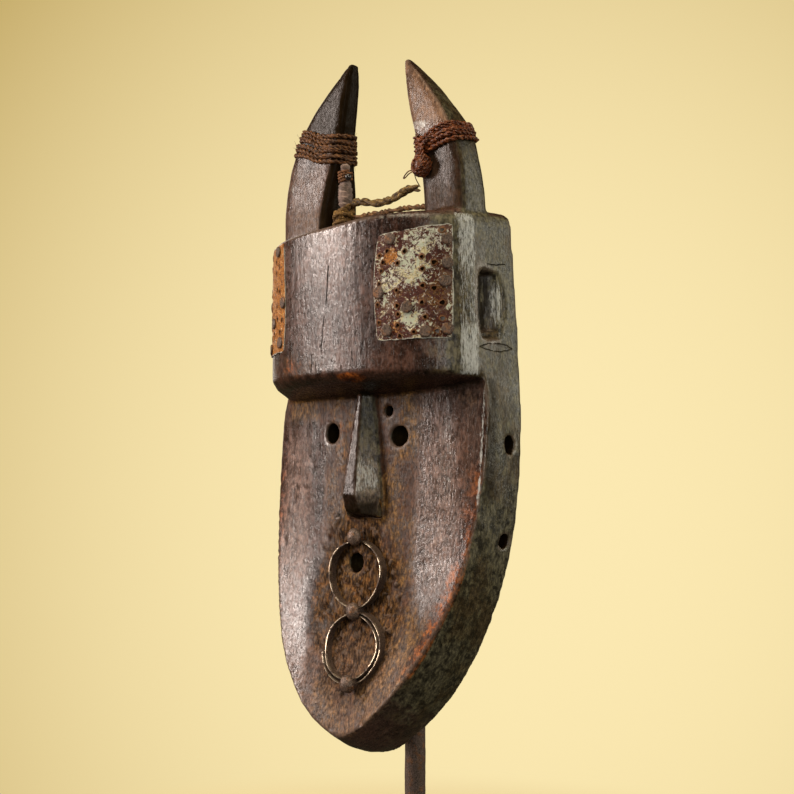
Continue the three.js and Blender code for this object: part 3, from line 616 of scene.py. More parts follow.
def wood_material(cuts):
    """The carved wood: dark satin patina, brown dust, olive sides, worn edges and red-orange wear."""
    material, tree, shader = new_material("carved wood")
    where = object_place(tree)
    grain = use(tree, GRAIN, {"Place": where, "Along": 0.16})
    cloud = lumps(object_place(tree, (1, 1, 0.5)), 22, 6, 0.62)
    mottle = lumps(where, 6, 6, 0.7)
    speck = lumps(object_place(tree, (1, 1, 0.45)), 1.9, 4, 0.65)
    names = ("worn", "sunk", "dust", "olive", "red", "dark_and_painted_shade", "pale", "crust", "tan", "dull", "painted_sheen")
    masks = {name: mask_of(tree, name) for name in names}
    dusty = patch_of(masks["dust"], cloud, 0.34)
    scuffs = lumps(object_place(tree, (1, 1, 0.16)), 1.0, 5, 0.85)
    scuffs_and_painted_highlight = patch_of(masks["pale"], scuffs, 0.08) * 0.8
    dots = 1.0 - grain["Pores"]
    wobble = vector_maths(tree, "MULTIPLY_ADD", lumps(where, 4, 3), (2, 0, 2), (-1, 0, -1))
    drawn = vector_maths(tree, "ADD", where, wobble)
    opened = None
    for points, width, strength in cuts:
        line = line_mask(tree, drawn, points, width) * strength
        opened = line if opened is None else maths(tree, "MAXIMUM", opened, line)
    color = wood_colour(masks, grain, cloud, mottle, speck, dusty, scuffs_and_painted_highlight, opened, dots)

    rough = mottle.between(0.40, 0.60, 0.20, 0.32) + dusty * 0.24 + masks["crust"] * 0.34
    rough = rough + masks["dull"] * 0.24 + maths(tree, "MAXIMUM", opened, dots) * 0.6
    rough = (rough - masks["worn"] * 0.10).clamped()
    shine = (1.0 - masks["dark_and_painted_shade"]) * 0.5
    for matt, share in ((dusty, 0.50), (masks["crust"], 0.8), (masks["tan"], 1.1), (masks["sunk"], 0.7),
                        (masks["red"], 0.8)):
        shine = shine * (1.0 - matt * share).clamped()
    shine = shine * lumps(object_place(tree, (1, 1, 0.4)), 1.3, 4, 0.7).between(0.38, 0.60, 0.45, 1.2)

    height = grain["Streak"] * 0.25 + speck * 0.40 + grain["Pores"] * 0.4
    height = height + lumps(where, 2.8, 3, 0.62) * 0.65
    height = height + lumps(object_place(tree, (1, 1, 0.1)), 1.9, 2, 0.5) * 0.35
    height = height - opened * 2.5
    height = height + lumps(where, 1.3, 4, 0.75) * masks["crust"] * 2.5
    feed(shader, {"Base Color": color, "Roughness": rough, "Specular IOR Level": shine,
                  "Normal": bump(height, 1.0, 0.36), "IOR": 1.55})
    return material


def rust_material(name, orange, metallic, roughness, grey):
    material, tree, shader = new_material(name)
    rust = use(tree, RUST, {"Place": object_place(tree), "Orange": orange, "Grey": grey})
    feed(shader, {"Base Color": rust["Color"], "Normal": bump(rust["Height"], 0.8, 0.5), "Metallic": metallic,
                  "Roughness": rust["Fine"].between(0.4, 0.65, roughness + 0.12, roughness - 0.14)})
    return material


def ring_material():
    """Dark rusty strip whose front edge is worn bright here and there; this bright wear also stands for a
    painted highlight along that edge.
    """
    material, tree, shader = new_material("ring iron")
    where = object_place(tree)
    rust = use(tree, RUST, {"Place": where, "Orange": 0.34, "Grey": 0.35})
    bright = lumps(where, 7, 3, 0.6).between(0.36, 0.56, 0.25, 1.0)
    worn = mask_of(tree, "worn") * bright + (rust["Fine"] - 0.5) * 0.8
    worn = worn.between(0.52, 0.88)
    feed(shader, {"Base Color": worn.mix(rust["Color"], (0.50, 0.42, 0.31)),
                  "Metallic": worn.between(0, 1, 0.2, 0.85), "Roughness": worn.between(0, 1, 0.55, 0.30),
                  "Normal": bump(rust["Height"], 0.6, 0.25)})
    return material


def dark_bead_material():
    """A glossy bead, dark almost to blackness."""
    material, tree, shader = new_material("dark bead")
    fine = lumps(object_place(tree), 1.2, 3, 0.6)
    feed(shader, {"Base Color": fine.mix((0.006, 0.007, 0.010), (0.035, 0.028, 0.026)),
                  "Roughness": fine.between(0.35, 0.65, 0.10, 0.22), "Normal": bump(fine, 0.3, 0.2)})
    return material


def fibre_material(name, dark, light, painted_glint, roughness):
    material, tree, shader = new_material(name)
    fibre = use(tree, FIBRE, {"Slant": 0.5})
    color = fibre["Stain"].between(0.36, 0.66).mix(dark, light)
    # Painted glints: the brightest hairs take a light golden colour that stands for highlights.
    color = (fibre["Hair"].between(0.54, 0.68) * 0.75).mix(color, painted_glint)
    gaps = fibre["Hair"].between(0.45, 0.3) * 0.75
    color = gaps.mix(color, tuple(part * 0.25 for part in dark))
    feed(shader, {"Base Color": color, "Normal": bump(fibre["Hair"], 0.8, 0.35), "Roughness": roughness,
                  "Specular IOR Level": 0.3})
    return material


def tin_material():
    """Old painted tin: maroon, cream and pale green paint over rust, with white chips and pale cut rims."""
    material, tree, shader = new_material("painted tin")
    where = object_place(tree)
    chips = lumps(where, 4.2, 6, 0.75, 0.9)
    fine = lumps(where, 0.9, 4, 0.7)
    wide = lumps(where, 9, 4, 0.6, 0.4)
    small = lumps(where, 2.4, 5, 0.8, 0.8)
    maroon = fine.between(0.36, 0.64).mix((0.022, 0.004, 0.003), (0.105, 0.022, 0.012))
    maroon = wide.between(0.54, 0.62).mix(maroon, (0.120, 0.058, 0.040))
    cream = fine.between(0.36, 0.6).mix((0.34, 0.27, 0.10), (0.70, 0.64, 0.42))
    green = fine.mix((0.40, 0.45, 0.33), (0.64, 0.68, 0.55))
    brown = fine.between(0.38, 0.62).mix((0.060, 0.024, 0.007), (0.26, 0.125, 0.040))
    color = chips.between(0.52, 0.55).mix(maroon, brown)
    level = mask_of(tree, "pale") + (chips - 0.5) * 2.2
    paint = wide.between(0.47, 0.53).mix(cream, green)
    color = level.between(0.50, 0.53).mix(color, paint)
    border = level.between(0.44, 0.47) * level.between(0.54, 0.51) * fine.between(0.46, 0.52)
    color = border.mix(color, (0.70, 0.69, 0.62))
    level = mask_of(tree, "orange") + (small - 0.5)
    orange = fine.between(0.36, 0.62).mix((0.13, 0.040, 0.008), (0.56, 0.22, 0.038))
    orange = small.between(0.57, 0.62).mix(orange, (0.68, 0.48, 0.18))
    orange = small.between(0.45, 0.40).mix(orange, (0.05, 0.016, 0.008))
    color = level.between(0.49, 0.53).mix(color, orange)
    speckle = small + mask_of(tree, "chipped") * 0.13
    color = speckle.between(0.67, 0.69).mix(color, (0.68, 0.67, 0.60))
    rim = mask_of(tree, "rim") + (fine - 0.5) * 1.2
    color = rim.between(0.62, 0.8).mix(color, (0.50, 0.50, 0.44))
    around = mask_of(tree, "hole") + (small - 0.5)
    rusty = fine.mix((0.06, 0.022, 0.008), (0.30, 0.12, 0.035))
    color = (around.between(0.42, 0.52) * 0.9).mix(color, rusty)
    color = small.between(0.41, 0.37).mix(color, (0.020, 0.008, 0.006))
    height = chips.between(0.47, 0.53) * 0.6 + fine + small * 1.6
    feed(shader, {"Base Color": color, "Normal": bump(height, 0.8, 0.35), "Metallic": 0.1,
                  "Roughness": chips.between(0.4, 0.6, 0.34, 0.62), "Specular IOR Level": 0.25})
    return material


# The carved mask


# An edge is sharp where its faces turn by more than these degrees; points are set along it at this step
SHARP_TURN = 27
SHARP_STEP = 1.5
FINE_STEP = 1.25
MERGE_DISTANCE = 0.01
EAR_DEPTH = 8.5

# Rows of height, depth of the face's edge and depth of its middle line
FACE_PROFILE = [
    (16, -77.5, -77.5), (33, -78.3, -73.4), (50, -74.6, -68.2), (74, -68, -62.4), (103, -58.4, -57.6),
    (125, -52.8, -55), (149, -47.6, -53.4), (183, -42.3, -52.5), (233, -36.8, -51.5), (285, -33, -49.5),
]
FACE_HALF_WIDTH = 96

# Holes through the face: places across and up, and their radius
HOLES = [(-33.8, 221.4, 7), (31.6, 218.1, 7), (-5, 131.4, 7), (22.4, 235.6, 3.6)]
# Holes through the sides: places back and up, and their radius
SIDE_HOLES = [(-14.3, 211.6, 6), (-16.8, 147.8, 4.8)]

# Cracks on the brow's front: places across and up, the half-width and how dark each is
BROW_CRACKS = [
    ([(3.7, 332.5), (2.4, 318), (1.1, 308.5)], 0.50, 0.95),
    ([(-1.3, 298), (-3.2, 287), (-4.8, 274)], 0.42, 0.85),
    ([(-14.1, 273.6), (-15.5, 262.1)], 0.42, 0.8),
    ([(-10.1, 269.3), (-10.9, 262.5)], 0.36, 0.7),
    ([(23.3, 273.7), (24, 266.6)], 0.36, 0.75),
    ([(14, 265.2), (14.4, 260.5)], 0.36, 0.7),
    ([(-18.7, 352.5), (-18.9, 343)], 0.34, 0.6),
]
# Cuts on the brow's right side: places back and up, the half-width and how dark each is
SIDE_CUTS = [
    ([(-39.2, 275.6), (-30, 278.3), (-19, 278.9), (-11, 278.2), (-5.9, 276.4)], 0.46, 0.75),
    ([(-39.2, 275.6), (-30, 273.8), (-19, 273.3), (-5.9, 276.2)], 0.40, 0.65),
    ([(-28.6, 331.5), (-19, 332.0), (-9.7, 333.5)], 0.42, 0.8),
]
# The edge between the face and its right side: places across, back and up
FACE_EDGE = [
    (96, -37, 252), (96, -40.5, 205), (96, -43, 180), (95.5, -46.6, 156),
    (86, -54.7, 117.4), (75, -62, 92), (61, -71, 62),
]


def face_front(x, height):
    """The depth of the face below the brow, with the nose left out."""
    heights, edge, middle = zip(*FACE_PROFILE)
    edge, middle = np.interp(height, heights, edge), np.interp(height, heights, middle)
    return middle + (edge - middle) * np.minimum(np.abs(x) / FACE_HALF_WIDTH, 1) ** 2


def wood_copy():
    """The mask's solid as one merged mesh, remeshed evenly, with how far each point is from an edge."""
    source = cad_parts["mask"]
    obj = bpy.data.objects.new("carved_mask", source.data.copy())
    bpy.context.scene.collection.objects.link(obj)
    choose(obj)
    sharp = []
    with reshaping(obj) as shape:
        bmesh.ops.remove_doubles(shape, verts=shape.verts, dist=MERGE_DISTANCE * MM)
        for edge in shape.edges:
            if len(edge.link_faces) == 2 and edge.calc_face_angle(0) > math.radians(SHARP_TURN):
                start, end = edge.verts[0].co, edge.verts[1].co
                steps = max(int((end - start).length / (SHARP_STEP * MM)), 1)
                sharp += [start.lerp(end, k / steps) for k in range(steps + 1)]
    modify(obj, "REMESH", mode="VOXEL", voxel_size=FINE_STEP * MM)
    tree = KDTree(len(sharp))
    for index, point in enumerate(sharp):
        tree.insert(point, index)
    tree.balance()
    return obj, np.array([tree.find(v.co)[2] for v in obj.data.vertices]) / MM


def soften(obj, far):
    """Smooths the facets away and rounds the edges a little, more on the horns, chin and rear rim."""
    points, edges = points_of(obj), edges_of(obj)
    horn = ease(364, 370, points[:, 2])
    chin = fade(50, 120, points[:, 2]) * (points[:, 1] < -50)
    rear_rim = fade(215, 240, points[:, 2]) * (points[:, 1] > -26)
    soft = strongest(ease(0.8, 6, far), horn * 0.8, chin * 0.45, rear_rim * 0.6)
    points = averaged(points, edges, 40, 0.7 + 0.3 * soft, 0.53)
    set_points(obj, averaged(points, edges, 14, 0.24 + 0.66 * soft ** 2))


def carve_broad(obj):
    """The unevenness that a knife leaves: flats, hollows and long shallow waves."""
    points, normals = points_of(obj), normals_of(obj)
    inside = ease(-0.2, 0.6, normals[:, 1]) * (np.abs(points[:, 0]) < 88)
    wave = 0.36 * layered(points, (34, 30, 60), 1, 2) + 0.12 * noise(points, (9, 9, 26), 5)
    wave += inside * 0.9 * noise(points, (14, 12, 22), 9)
    side = ease(0.55, 0.85, np.abs(normals[:, 0]))
    wave += side * 0.35 * noise(points, (20, 13, 24), 12)
    points += normals * wave[:, None]
    top_edge = ease(348, 362, points[:, 2]) * ease(40, 56, -points[:, 1])
    points[:, 2] -= top_edge * (3.2 - 1.4 * ease(5, 40, points[:, 0])) * (points[:, 2] < 372)
    x, y, height = points.T
    on_nose = (np.abs(x - 3) < 21) * ease(1.5, 5, face_front(x, height) - y) * fade(182, 190, height)
    points[:, 2] -= 6 * on_nose * ease(150, 174, height) * fade(-2, 9, x)
    points[:, 1] += 0.55 * on_nose * np.clip(178 - height, 0, 14)
    set_points(obj, points)


def carve_ear(obj):
    """The cut on the brow's right side: a steep front wall, a flat bottom and a long slope up behind."""
    points, normals = points_of(obj), normals_of(obj)
    x, y, height = points.T
    around = (x > 88) & (normals[:, 0] > 0.9) & (height > 272) & (height < 338) & (y > -44) & (y < -8)
    around &= (height < 278) | (height > 331) | (y < -40.5) | (y > -11.5)
    table = np.column_stack([y[around], height[around], np.ones(around.sum())])
    plane = np.linalg.lstsq(table, x[around], rcond=None)[0]
    flat = plane[0] * y + plane[1] * height + plane[2]
    up = (height - 304.6) / 23.2
    back = -13.0 - 4.5 * np.abs(up) ** 4
    front = -38.2 + 5.0 * np.clip(up, 0, 1) ** 6 + 3.0 * np.clip(-up, 0, 1) ** 4
    part = (y - front) / (back - front)
    depth = EAR_DEPTH * ease(0, 0.07, part) * (1 - 0.86 * ease(0.34, 0.92, part)) * fade(0.95, 1.0, part)
    depth *= ease(0, 0.10, 1 - up) * ease(0, 0.06, 1 + up) * (1 - 0.45 * fade(-0.80, -0.72, up))
    region = (np.abs(up) < 1) & (part > 0) & (part < 1) & (x > 78)
    points[region, 0] = (flat - depth)[region]
    set_points(obj, points)
    set_points(obj, averaged(points_of(obj), edges_of(obj), 2, region * 0.6))


def lines_on(surface):
    """The cracks and cuts as lines in space on the mask's surface, in the scene's millimetres."""
    lines = []
    for line, width, strength in BROW_CRACKS:
        hits = [surface.ray_cast(place(x, FAR_FRONT, height), BACKWARD)[0] / MM for x, height in line]
        lines.append((hits, width, strength))
    for line, width, strength in SIDE_CUTS:
        hits = [surface.ray_cast(place(FAR_RIGHT, y, height), LEFTWARD)[0] / MM for y, height in line]
        lines.append((hits, width, strength))
    return lines


def refine(obj, near):
    """Cuts every edge whose both ends are in the mask near."""
    with reshaping(obj) as shape:
        chosen = [edge for edge in shape.edges if near[edge.verts[0].index] and near[edge.verts[1].index]]
        bmesh.ops.subdivide_edges(shape, edges=chosen, cuts=1, use_grid_fill=True)
        bmesh.ops.triangulate(shape, faces=[f for f in shape.faces if len(f.verts) > 3])


def crust_at(points):
    """Where the chin's granular crust lies: round the rings, the studs and the mouth."""
    around = spot(points, (-1, None, 102), (42, None, 64), 0.3)
    patchy = 0.62 + 0.75 * layered(points, 9, 21, 3)
    rim = ease(7.5, 13, np.hypot(points[:, 0] + 5, points[:, 2] - 131.4))
    return around * np.clip(patchy, 0, 1) * ease(0, 6, -44 - points[:, 1]) * (0.25 + 0.75 * rim)


CRUST_LUMPS = [
    (-28, 157, 3.2), (-24, 161.5, 2.3), (-33, 152, 2.2), (-21, 154, 2.0), (-36, 144, 1.8), (32, 126, 3.0),
    (35, 119, 2.4), (29, 133, 2.4), (37, 110, 2.0), (27, 141, 2.0), (-31, 104, 2.4), (-27, 97, 2.0),
    (31, 98, 2.0), (20, 44, 2.4), (-3, 44, 2.0), (33, 88, 2.2), (12, 152, 2.2), (-9, 152, 2.0),
]


def carve_fine(obj):
    """Crust, grain and dents."""
    points, normals = points_of(obj), normals_of(obj)
    crust = crust_at(points)
    crumbs = 2.2 * np.clip(noise(points, 2.7, 31), 0, 1) + 1.2 * np.clip(noise(points, 1.4, 33), 0, 1)
    change = crust * (0.1 + crumbs)
    uneven = 1 + 0.4 * noise(points, 1.4, 35)
    for x, height, size in CRUST_LUMPS:
        away = np.hypot(points[:, 0] - x, points[:, 2] - height)
        lump = 2.2 * fade(size * 0.3, size, away) * (points[:, 1] < -40)
        change += lump * uneven
    grain = noise(points, (1.9, 1.9, 30), 41) + 0.6 * noise(points, (1.2, 1.2, 12), 43)
    dents = np.clip(noise(points, (7, 7, 11), 45) - 0.62, 0, 1) + np.clip(noise(points, 4, 47) - 0.7, 0, 1)
    change += (0.06 * grain - 1.3 * dents) * (1 - crust)
    set_points(obj, points + normals * change[:, None])


def away_from_line(points, line):
    """How far each point is from a line through some places."""
    distances = []
    for start, end in zip(np.array(line[:-1]), np.array(line[1:])):
        way = end - start
        part = np.clip(((points - start) @ way) / way.dot(way), 0, 1)
        distances.append(np.linalg.norm(points - start - part[:, None] * way, axis=1))
    return np.minimum.reduce(distances)


def holes_at(x, y, height, normal_x):
    """1 in the holes through the face and the sides, and on their rims."""
    layers = []
    for across, up, radius in HOLES:
        rim = fade(radius + 1, radius + 3, np.hypot(x - across, height - up))
        layers.append(rim * ease(0.6, 2.0, y - face_front(x, height)))
    for back, up, radius in SIDE_HOLES:
        rim = fade(radius + 0.6, radius + 2, np.hypot(y - back, height - up))
        layers.append(rim * fade(0.5, 0.9, np.abs(normal_x)))
    return strongest(*layers)


def mask_colours(obj):
    """Writes the masks that the wood's material mixes its colours by."""
    points, normals, edges = points_of(obj), normals_of(obj), edges_of(obj)
    x, y, height = points.T
    normal_x, normal_y, normal_z = normals.T
    sunk_near = ((averaged(points, edges, 5) - points) * normals).sum(1)
    sunk_wide = ((averaged(points, edges, 40) - points) * normals).sum(1)

    def oval(centre, size, softness=0.5):
        return spot(points, centre, size, softness)

    front = ease(0.2, 0.7, -normal_y)
    side = ease(0.55, 0.85, np.abs(normal_x))
    inside = ease(0.0, 0.3, normal_y) * (np.abs(x) < 88) * (height < 348) * (y > -82)
    horn = ease(362, 370, height)
    brow = ease(254, 258, height) * (1 - horn)
    brow_front = brow * (y < -60)
    face = (height < 252) * front * (1 - inside)
    nose = oval((3, None, 204), (23, None, 50), 0.15) * ease(1.5, 4.0, face_front(x, height) - y)
    nose_side = nose * ease(0.3, 0.6, normal_x)
    ridge = nose * ease(0.6, 0.85, -normal_y)
    past_ridge = x - (3 - 1.7 - 4.9 * (249 - height) / 80)
    crust = crust_at(points)
    hole = holes_at(x, y, height, normal_x)
    band = away_from_line(points, FACE_EDGE)
    behind = side * (x > 80) * ease(2.5, 4.5, band) * fade(9, 17, band) * ease(150, 185, height)
    corner = ease(-60, -51, y) * fade(-42, -33, y) * (x > 78) * brow

    worn = (ease(0.06, 0.4, -sunk_near) + 0.7 * ease(0.5, 2.2, -sunk_wide)) * (1 - 0.6 * horn)
    worn *= (1 - 0.8 * oval((0, None, 258), (200, None, 7), 0.4)) * (1 - hole)
    sunk = 0.7 * ease(0.12, 0.5, sunk_near) * (1 - horn) + 0.8 * ease(0.9, 2.6, sunk_wide)
    sunk *= 1 - 0.4 * crust
    dust = face * (1 - nose) * ease(-42, -8, x) * (1 - 0.5 * ease(52, 84, x)) * ease(15, 50, height)
    dust *= 1 - 0.5 * oval((66, None, 165), (17, None, 66))
    dust = strongest(dust, 0.8 * face * ease(218, 240, height) * (1 - nose))
    dust = strongest(
        dust * (1 - 0.7 * ease(36, 58, x) * ease(75, 130, height)),
        0.55 * face * (1 - nose) * fade(30, 56, np.abs(x)),
        0.75 * face * oval((12, None, 45), (52, None, 40)),
        0.5 * horn * front * fade(380, 402, height),
        0.42 * oval((-40, -80, 268), (45, 30, 12), 0.6),
        0.5 * oval((84, None, 242), (9, None, 7)) * face,
    )
    olive = strongest(
        side * (1 - 0.25 * horn) * (1 - (x < 0) * horn),
        0.52 * brow * ease(62, 88, x),
        0.80 * nose * ease(0.3, 0.55, normal_x),
        0.4 * fade(30, 90, height) * (1 - front),
    )
    red = strongest(
        (0.06 + 0.66 * fade(110, 165, height)) * fade(1.5, 5.5, band) * (x > 40),
        0.50 * fade(6, 15, band) * face * (x > 40) * fade(190, 215, height),
        0.78 * oval((20, -88, 256.2), (13, 12, 3.6)),
        0.40 * oval((-38, -84, 267), (15, 9, 9), 0.6),
        0.30 * oval((-24, -54, 222), (13, 10, 28), 0.6) * (1 - nose),
        0.40 * oval((-92, -48, 140), (10, 22, 85), 0.6),
        0.44 * oval((-82, -60, 80), (11, 22, 30)),
        0.34 * oval((85, -42, 190), (7, 9, 52), 0.6),
    )
    # Painted shade: the holes and the mask's hollow back, the horns' inner and right sides, under the brow
    # and along the face's top, the band beside the face's right edge, the ear cut's floor, the nose's
    # underside, tip, right-hand front and upper side, the brow's middle and left part, and the wood under the
    # tin plates. The side wall's dark mottling and the horn fronts, darker towards the left horn's tip and
    # the right horn's base, are darker patches.
    dark_and_painted_shade = strongest(
        hole,
        0.7 * inside,
        0.95 * horn * ease(0.12, 0.4, normal_x) * (x < 0),
        0.42 * horn * ease(0.3, 0.6, normal_x) * (x > 0),
        horn * front * np.where(x < 0, 0.36 + 0.34 * ease(425, 440, height), 0.56 * (height < 424)),
        0.38 * ease(0.45, 0.8, -normal_z) * oval((0, -60, 250), (99, 38, 13), 0.25),
        0.36 * oval((0, -50, 243), (92, 16, 6), 0.6),
        0.44 * oval((88, -42, 205), (9, 9, 52), 0.6) * face,
        0.85 * oval((86, -34, 304), (7, 6, 22), 0.3),
        0.8 * nose * ease(0.2, 0.5, -normal_z),
        0.66 * nose * fade(171, 178, height),
        0.56 * ridge * ease(0.6, 2.4, past_ridge),
        0.56 * nose * fade(180, 190, height) * (x < 9),
        0.30 * nose_side * ease(205, 225, height),
        0.24 * brow_front * oval((4, None, 303), (46, None, 34), 0.8),
        0.24 * side * (x > 0) * ease(254, 262, height) * (1 - horn),
        0.32 * brow * fade(-62, -36, x) * front,
        0.56 * behind * (height < 256),
        oval((-67, None, 316), (19, None, 35), 0.05) * (y < -55),
        oval((67, None, 316), (19, None, 35), 0.05) * (y < -55),
    )
    # Pale rubbed scuffs on the brow's right corner, with painted glints there, and on the left horn; painted
    # highlights as a bright line along the face's right edge, on the ear cut's back slope, the nose's ridge
    # and lower side, a spot on the right horn and the face's left and right parts.
    pale = strongest(
        corner * (0.44 + 0.10 * fade(280, 296, height) + 0.07 * ease(322, 334, height)),
        0.52 * oval((90, -18, 306), (8, 5, 20)),
        0.22 * nose * fade(-3, 0.5, past_ridge) * (normal_y < -0.3),
        0.50 * nose_side * ease(176, 182, height) * fade(195, 220, height),
        0.54 * fade(0.5, 2.6, band) * ease(150, 180, height) * (height < 254),
        0.51 * oval((48, -48, 430), (11, 12, 4.5)),
        0.44 * oval((-80, -48, 404), (3, 7, 7)),
        0.34 * oval((-78, -44, 205), (9, 9, 45), 0.6),
        0.40 * oval((70, -45, 200), (11, 9, 50), 0.6),
    )
    tan = strongest(
        horn * front * np.where(x > 0, 0.38 + 0.32 * ease(424, 430, height), 0.34),
        # Painted light: the left horn's outer side made paler as if lit.
        0.40 * horn * (x < -50) * ease(0.5, 0.8, -normal_x),
    )
    dull = strongest(
        0.55 * olive,
        0.8 * inside,
        0.8 * oval((68, None, 92), (18, None, 30), 0.6) * face,
        0.3 * brow_front * oval((0, None, 303), (58, None, 38), 0.7),
    )
    # Painted sheen on the face's left and right parts, the lower face, the brow's top middle, the left horn's
    # low front and the nose's lower side.
    painted_sheen = strongest(
        0.72 * face * fade(-66, -50, x) * ease(85, 130, height) * fade(212, 236, height),
        0.62 * face * oval((66, None, 172), (17, None, 62)),
        0.34 * oval((86, None, 205), (8, None, 45), 0.6) * face,
    )
    painted_sheen = strongest(
        painted_sheen * ease(-95, -85, x),
        0.30 * face * fade(62, 96, height),
        0.30 * brow_front * oval((0, None, 345), (30, None, 24), 0.6),
        0.16 * horn * front * (x < 0) * fade(400, 425, height),
        0.46 * nose_side * fade(190, 225, height),
    )
    masks = {"worn": worn, "sunk": sunk, "dust": dust, "olive": olive, "red": red, "dark_and_painted_shade": dark_and_painted_shade,
             "pale": pale, "crust": crust * 1.15, "tan": tan, "dull": dull, "painted_sheen": painted_sheen}
    for name, values in masks.items():
        write_mask(obj, name, values)


def carved_mask():
    obj, far = wood_copy()
    soften(obj, far)
    carve_broad(obj)
    carve_ear(obj)
    modify(obj, "DECIMATE", ratio=0.42)
    refine(obj, crust_at(points_of(obj)) > 0.05)
    carve_fine(obj)
    mask_colours(obj)
    material = wood_material(lines_on(surface_of(obj)))
    return finish_piece(obj, material, "carved_wood", "mask", smooth=180)


# Tin plates and nails


PLATE_CORNERS = {
    -1: ((47, 355.5), (87, 351), (48.5, 278.5), (87, 277.5)),
    1: ((45.6, 349), (86, 355.5), (44.2, 279.5), (87.4, 280.5)),
}
PLATE_BOW = 2.8
# Punched holes on the right plate: parts of its width and height
PUNCHED = [
    (0.07, 0.80), (0.19, 0.83), (0.14, 0.73), (0.36, 0.70), (0.45, 0.80), (0.68, 0.73), (0.69, 0.62),
    (0.82, 0.67), (0.12, 0.65), (0.09, 0.53), (0.35, 0.45), (0.69, 0.47), (0.82, 0.44), (0.06, 0.34),
    (0.35, 0.31), (0.36, 0.23), (0.68, 0.32), (0.90, 0.31), (0.71, 0.19), (0.90, 0.17), (0.06, 0.17),
    (0.34, 0.13), (0.36, 0.03), (0.56, 0.06), (0.84, 0.06), (0.90, 0.95),
]
NAILS = [
    (0.22, 0.94), (0.95, 0.87), (0.95, 0.66), (0.93, 0.50), (0.08, 0.45),
    (0.17, 0.09), (0.49, 0.29), (0.71, 0.06), (0.95, 0.08),
]
HOLE_RADIUS = 1.4
HOLE_SIDES = 10
NAIL_RADIUS = 4.0
NAIL_DEPTH = 0.9
TIN_THICKNESS = 0.45

# The width and height that a sheet's pattern is laid out by, and how far apart the points inside it are
PLATE_SIZE = np.array((52.0, 71.0))
PLATE_STEP = 1.3
# How many points each side of the outline has, and the part of a side that its rounded corner takes
EDGE_POINTS = 34
CORNER = 0.05


def plate_place(side, along, up):
    """The place across and the height of a point of a plate."""
    inner_top, outer_top, inner_low, outer_low = (np.array(c) for c in PLATE_CORNERS[side])
    low = inner_low + (outer_low - inner_low) * along
    top = inner_top + (outer_top - inner_top) * along
    x, height = low + (top - low) * up
    return x - PLATE_BOW * (1 - along) * math.sin(math.pi * up), height


def on_brow(surface, side, x, height, lift):
    """A point above the brow's front and the direction out of it."""
    hit, normal, _, _ = surface.ray_cast(place(side * x, FAR_FRONT, height), BACKWARD)
    flat = Vector((normal.x, normal.y, normal.z * 0.3)).normalized()
    return hit + flat * lift * MM, flat


def laid_out(side, parts):
    """Places on a sheet in millimetres, with a third number that sets the two sheets' noise apart."""
    return np.column_stack([parts * PLATE_SIZE, np.full(len(parts), 7.0 * side)])


def plate_outline(side):
    """A sheet's uneven outline with rounded corners, in parts of its width and height."""
    corners = np.array([(0, 0), (1, 0), (1, 1), (0, 1)], float)
    parts = np.arange(EDGE_POINTS)[:, None] / EDGE_POINTS
    ahead = np.roll(corners, -1, axis=0)
    outline = np.vstack([start + (end - start) * parts for start, end in zip(corners, ahead)])
    sized = laid_out(side, outline)
    outline += 0.010 * np.column_stack([noise(sized, 5.0, 3) + 0.6 * noise(sized, 2.0, 4),
                                        0.7 * noise(sized, 5.0, 6) + 0.5 * noise(sized, 2.0, 8)])
    pull = np.maximum(np.abs(outline - 0.5) - (0.5 - CORNER), 0).min(axis=1)
    return outline + (0.5 - outline) * (pull * 0.55)[:, None]


def punched_loops(side):
    """Two jagged loops round each punched hole: the hole itself, and one further out for its torn rim."""
    loops = []
    for number, (along, up) in enumerate(PUNCHED):
        if side < 0:
            along, up = 1 - along * 0.98, (up + 0.13) % 0.96
        angles = 2 * math.pi * np.arange(HOLE_SIDES) / HOLE_SIDES
        jag = 1 + 0.18 * np.sin(3 * angles + number) + 0.1 * np.sin(5 * angles + 2 * number)
        for grow in (1.0, 1.75):
            reach = HOLE_RADIUS * grow * jag * (0.85 + 0.3 * ((number * 7) % 5) / 5)
            way = np.column_stack([np.cos(angles), np.sin(angles)])
            loops.append((along, up) + reach[:, None] * way / PLATE_SIZE)
    return loops


def within(loop, point):
    """Whether a point lies inside a closed loop."""
    (x, y), (next_x, next_y) = loop.T, np.roll(loop, -1, axis=0).T
    crosses = (y > point[1]) != (next_y > point[1])
    at = x + (point[1] - y) / (next_y - y + 1e-12) * (next_x - x)
    return np.count_nonzero(crosses & (point[0] < at)) % 2 == 1


def flat_sheet(side):
    """A sheet's points in parts of its size, its faces without the holes, and the holes' middles."""
    loops = [plate_outline(side), *punched_loops(side)]
    points, edges = [], []
    for loop in loops:
        numbers = list(range(len(points), len(points) + len(loop)))
        edges += list(zip(numbers, numbers[1:] + numbers[:1]))
        points += list(loop)
    columns, rows = (PLATE_SIZE / PLATE_STEP).astype(int)
    for i in range(columns):
        for j in range(rows):
            spread = ((i * 7 + j * 13) % 5 - 2) * 0.05
            points.append(np.array((i + 0.5 + spread, j + 0.5 - spread)) * PLATE_STEP / PLATE_SIZE)
    flat, _, faces, *_ = delaunay_2d_cdt([Vector(p) for p in points], edges, [], 0, 1e-5)
    flat = np.array([tuple(p) for p in flat])
    outline, holes = loops[0], loops[1::2]
    centres = np.array([loop.mean(0) for loop in holes])
    kept = []
    for face in faces:
        middle = flat[list(face)].mean(0)
        closest = np.hypot(*((centres - middle) * PLATE_SIZE).T).argmin()
        if within(outline, middle) and not within(holes[closest], middle):
            kept.append(tuple(face))
    return flat, kept, centres


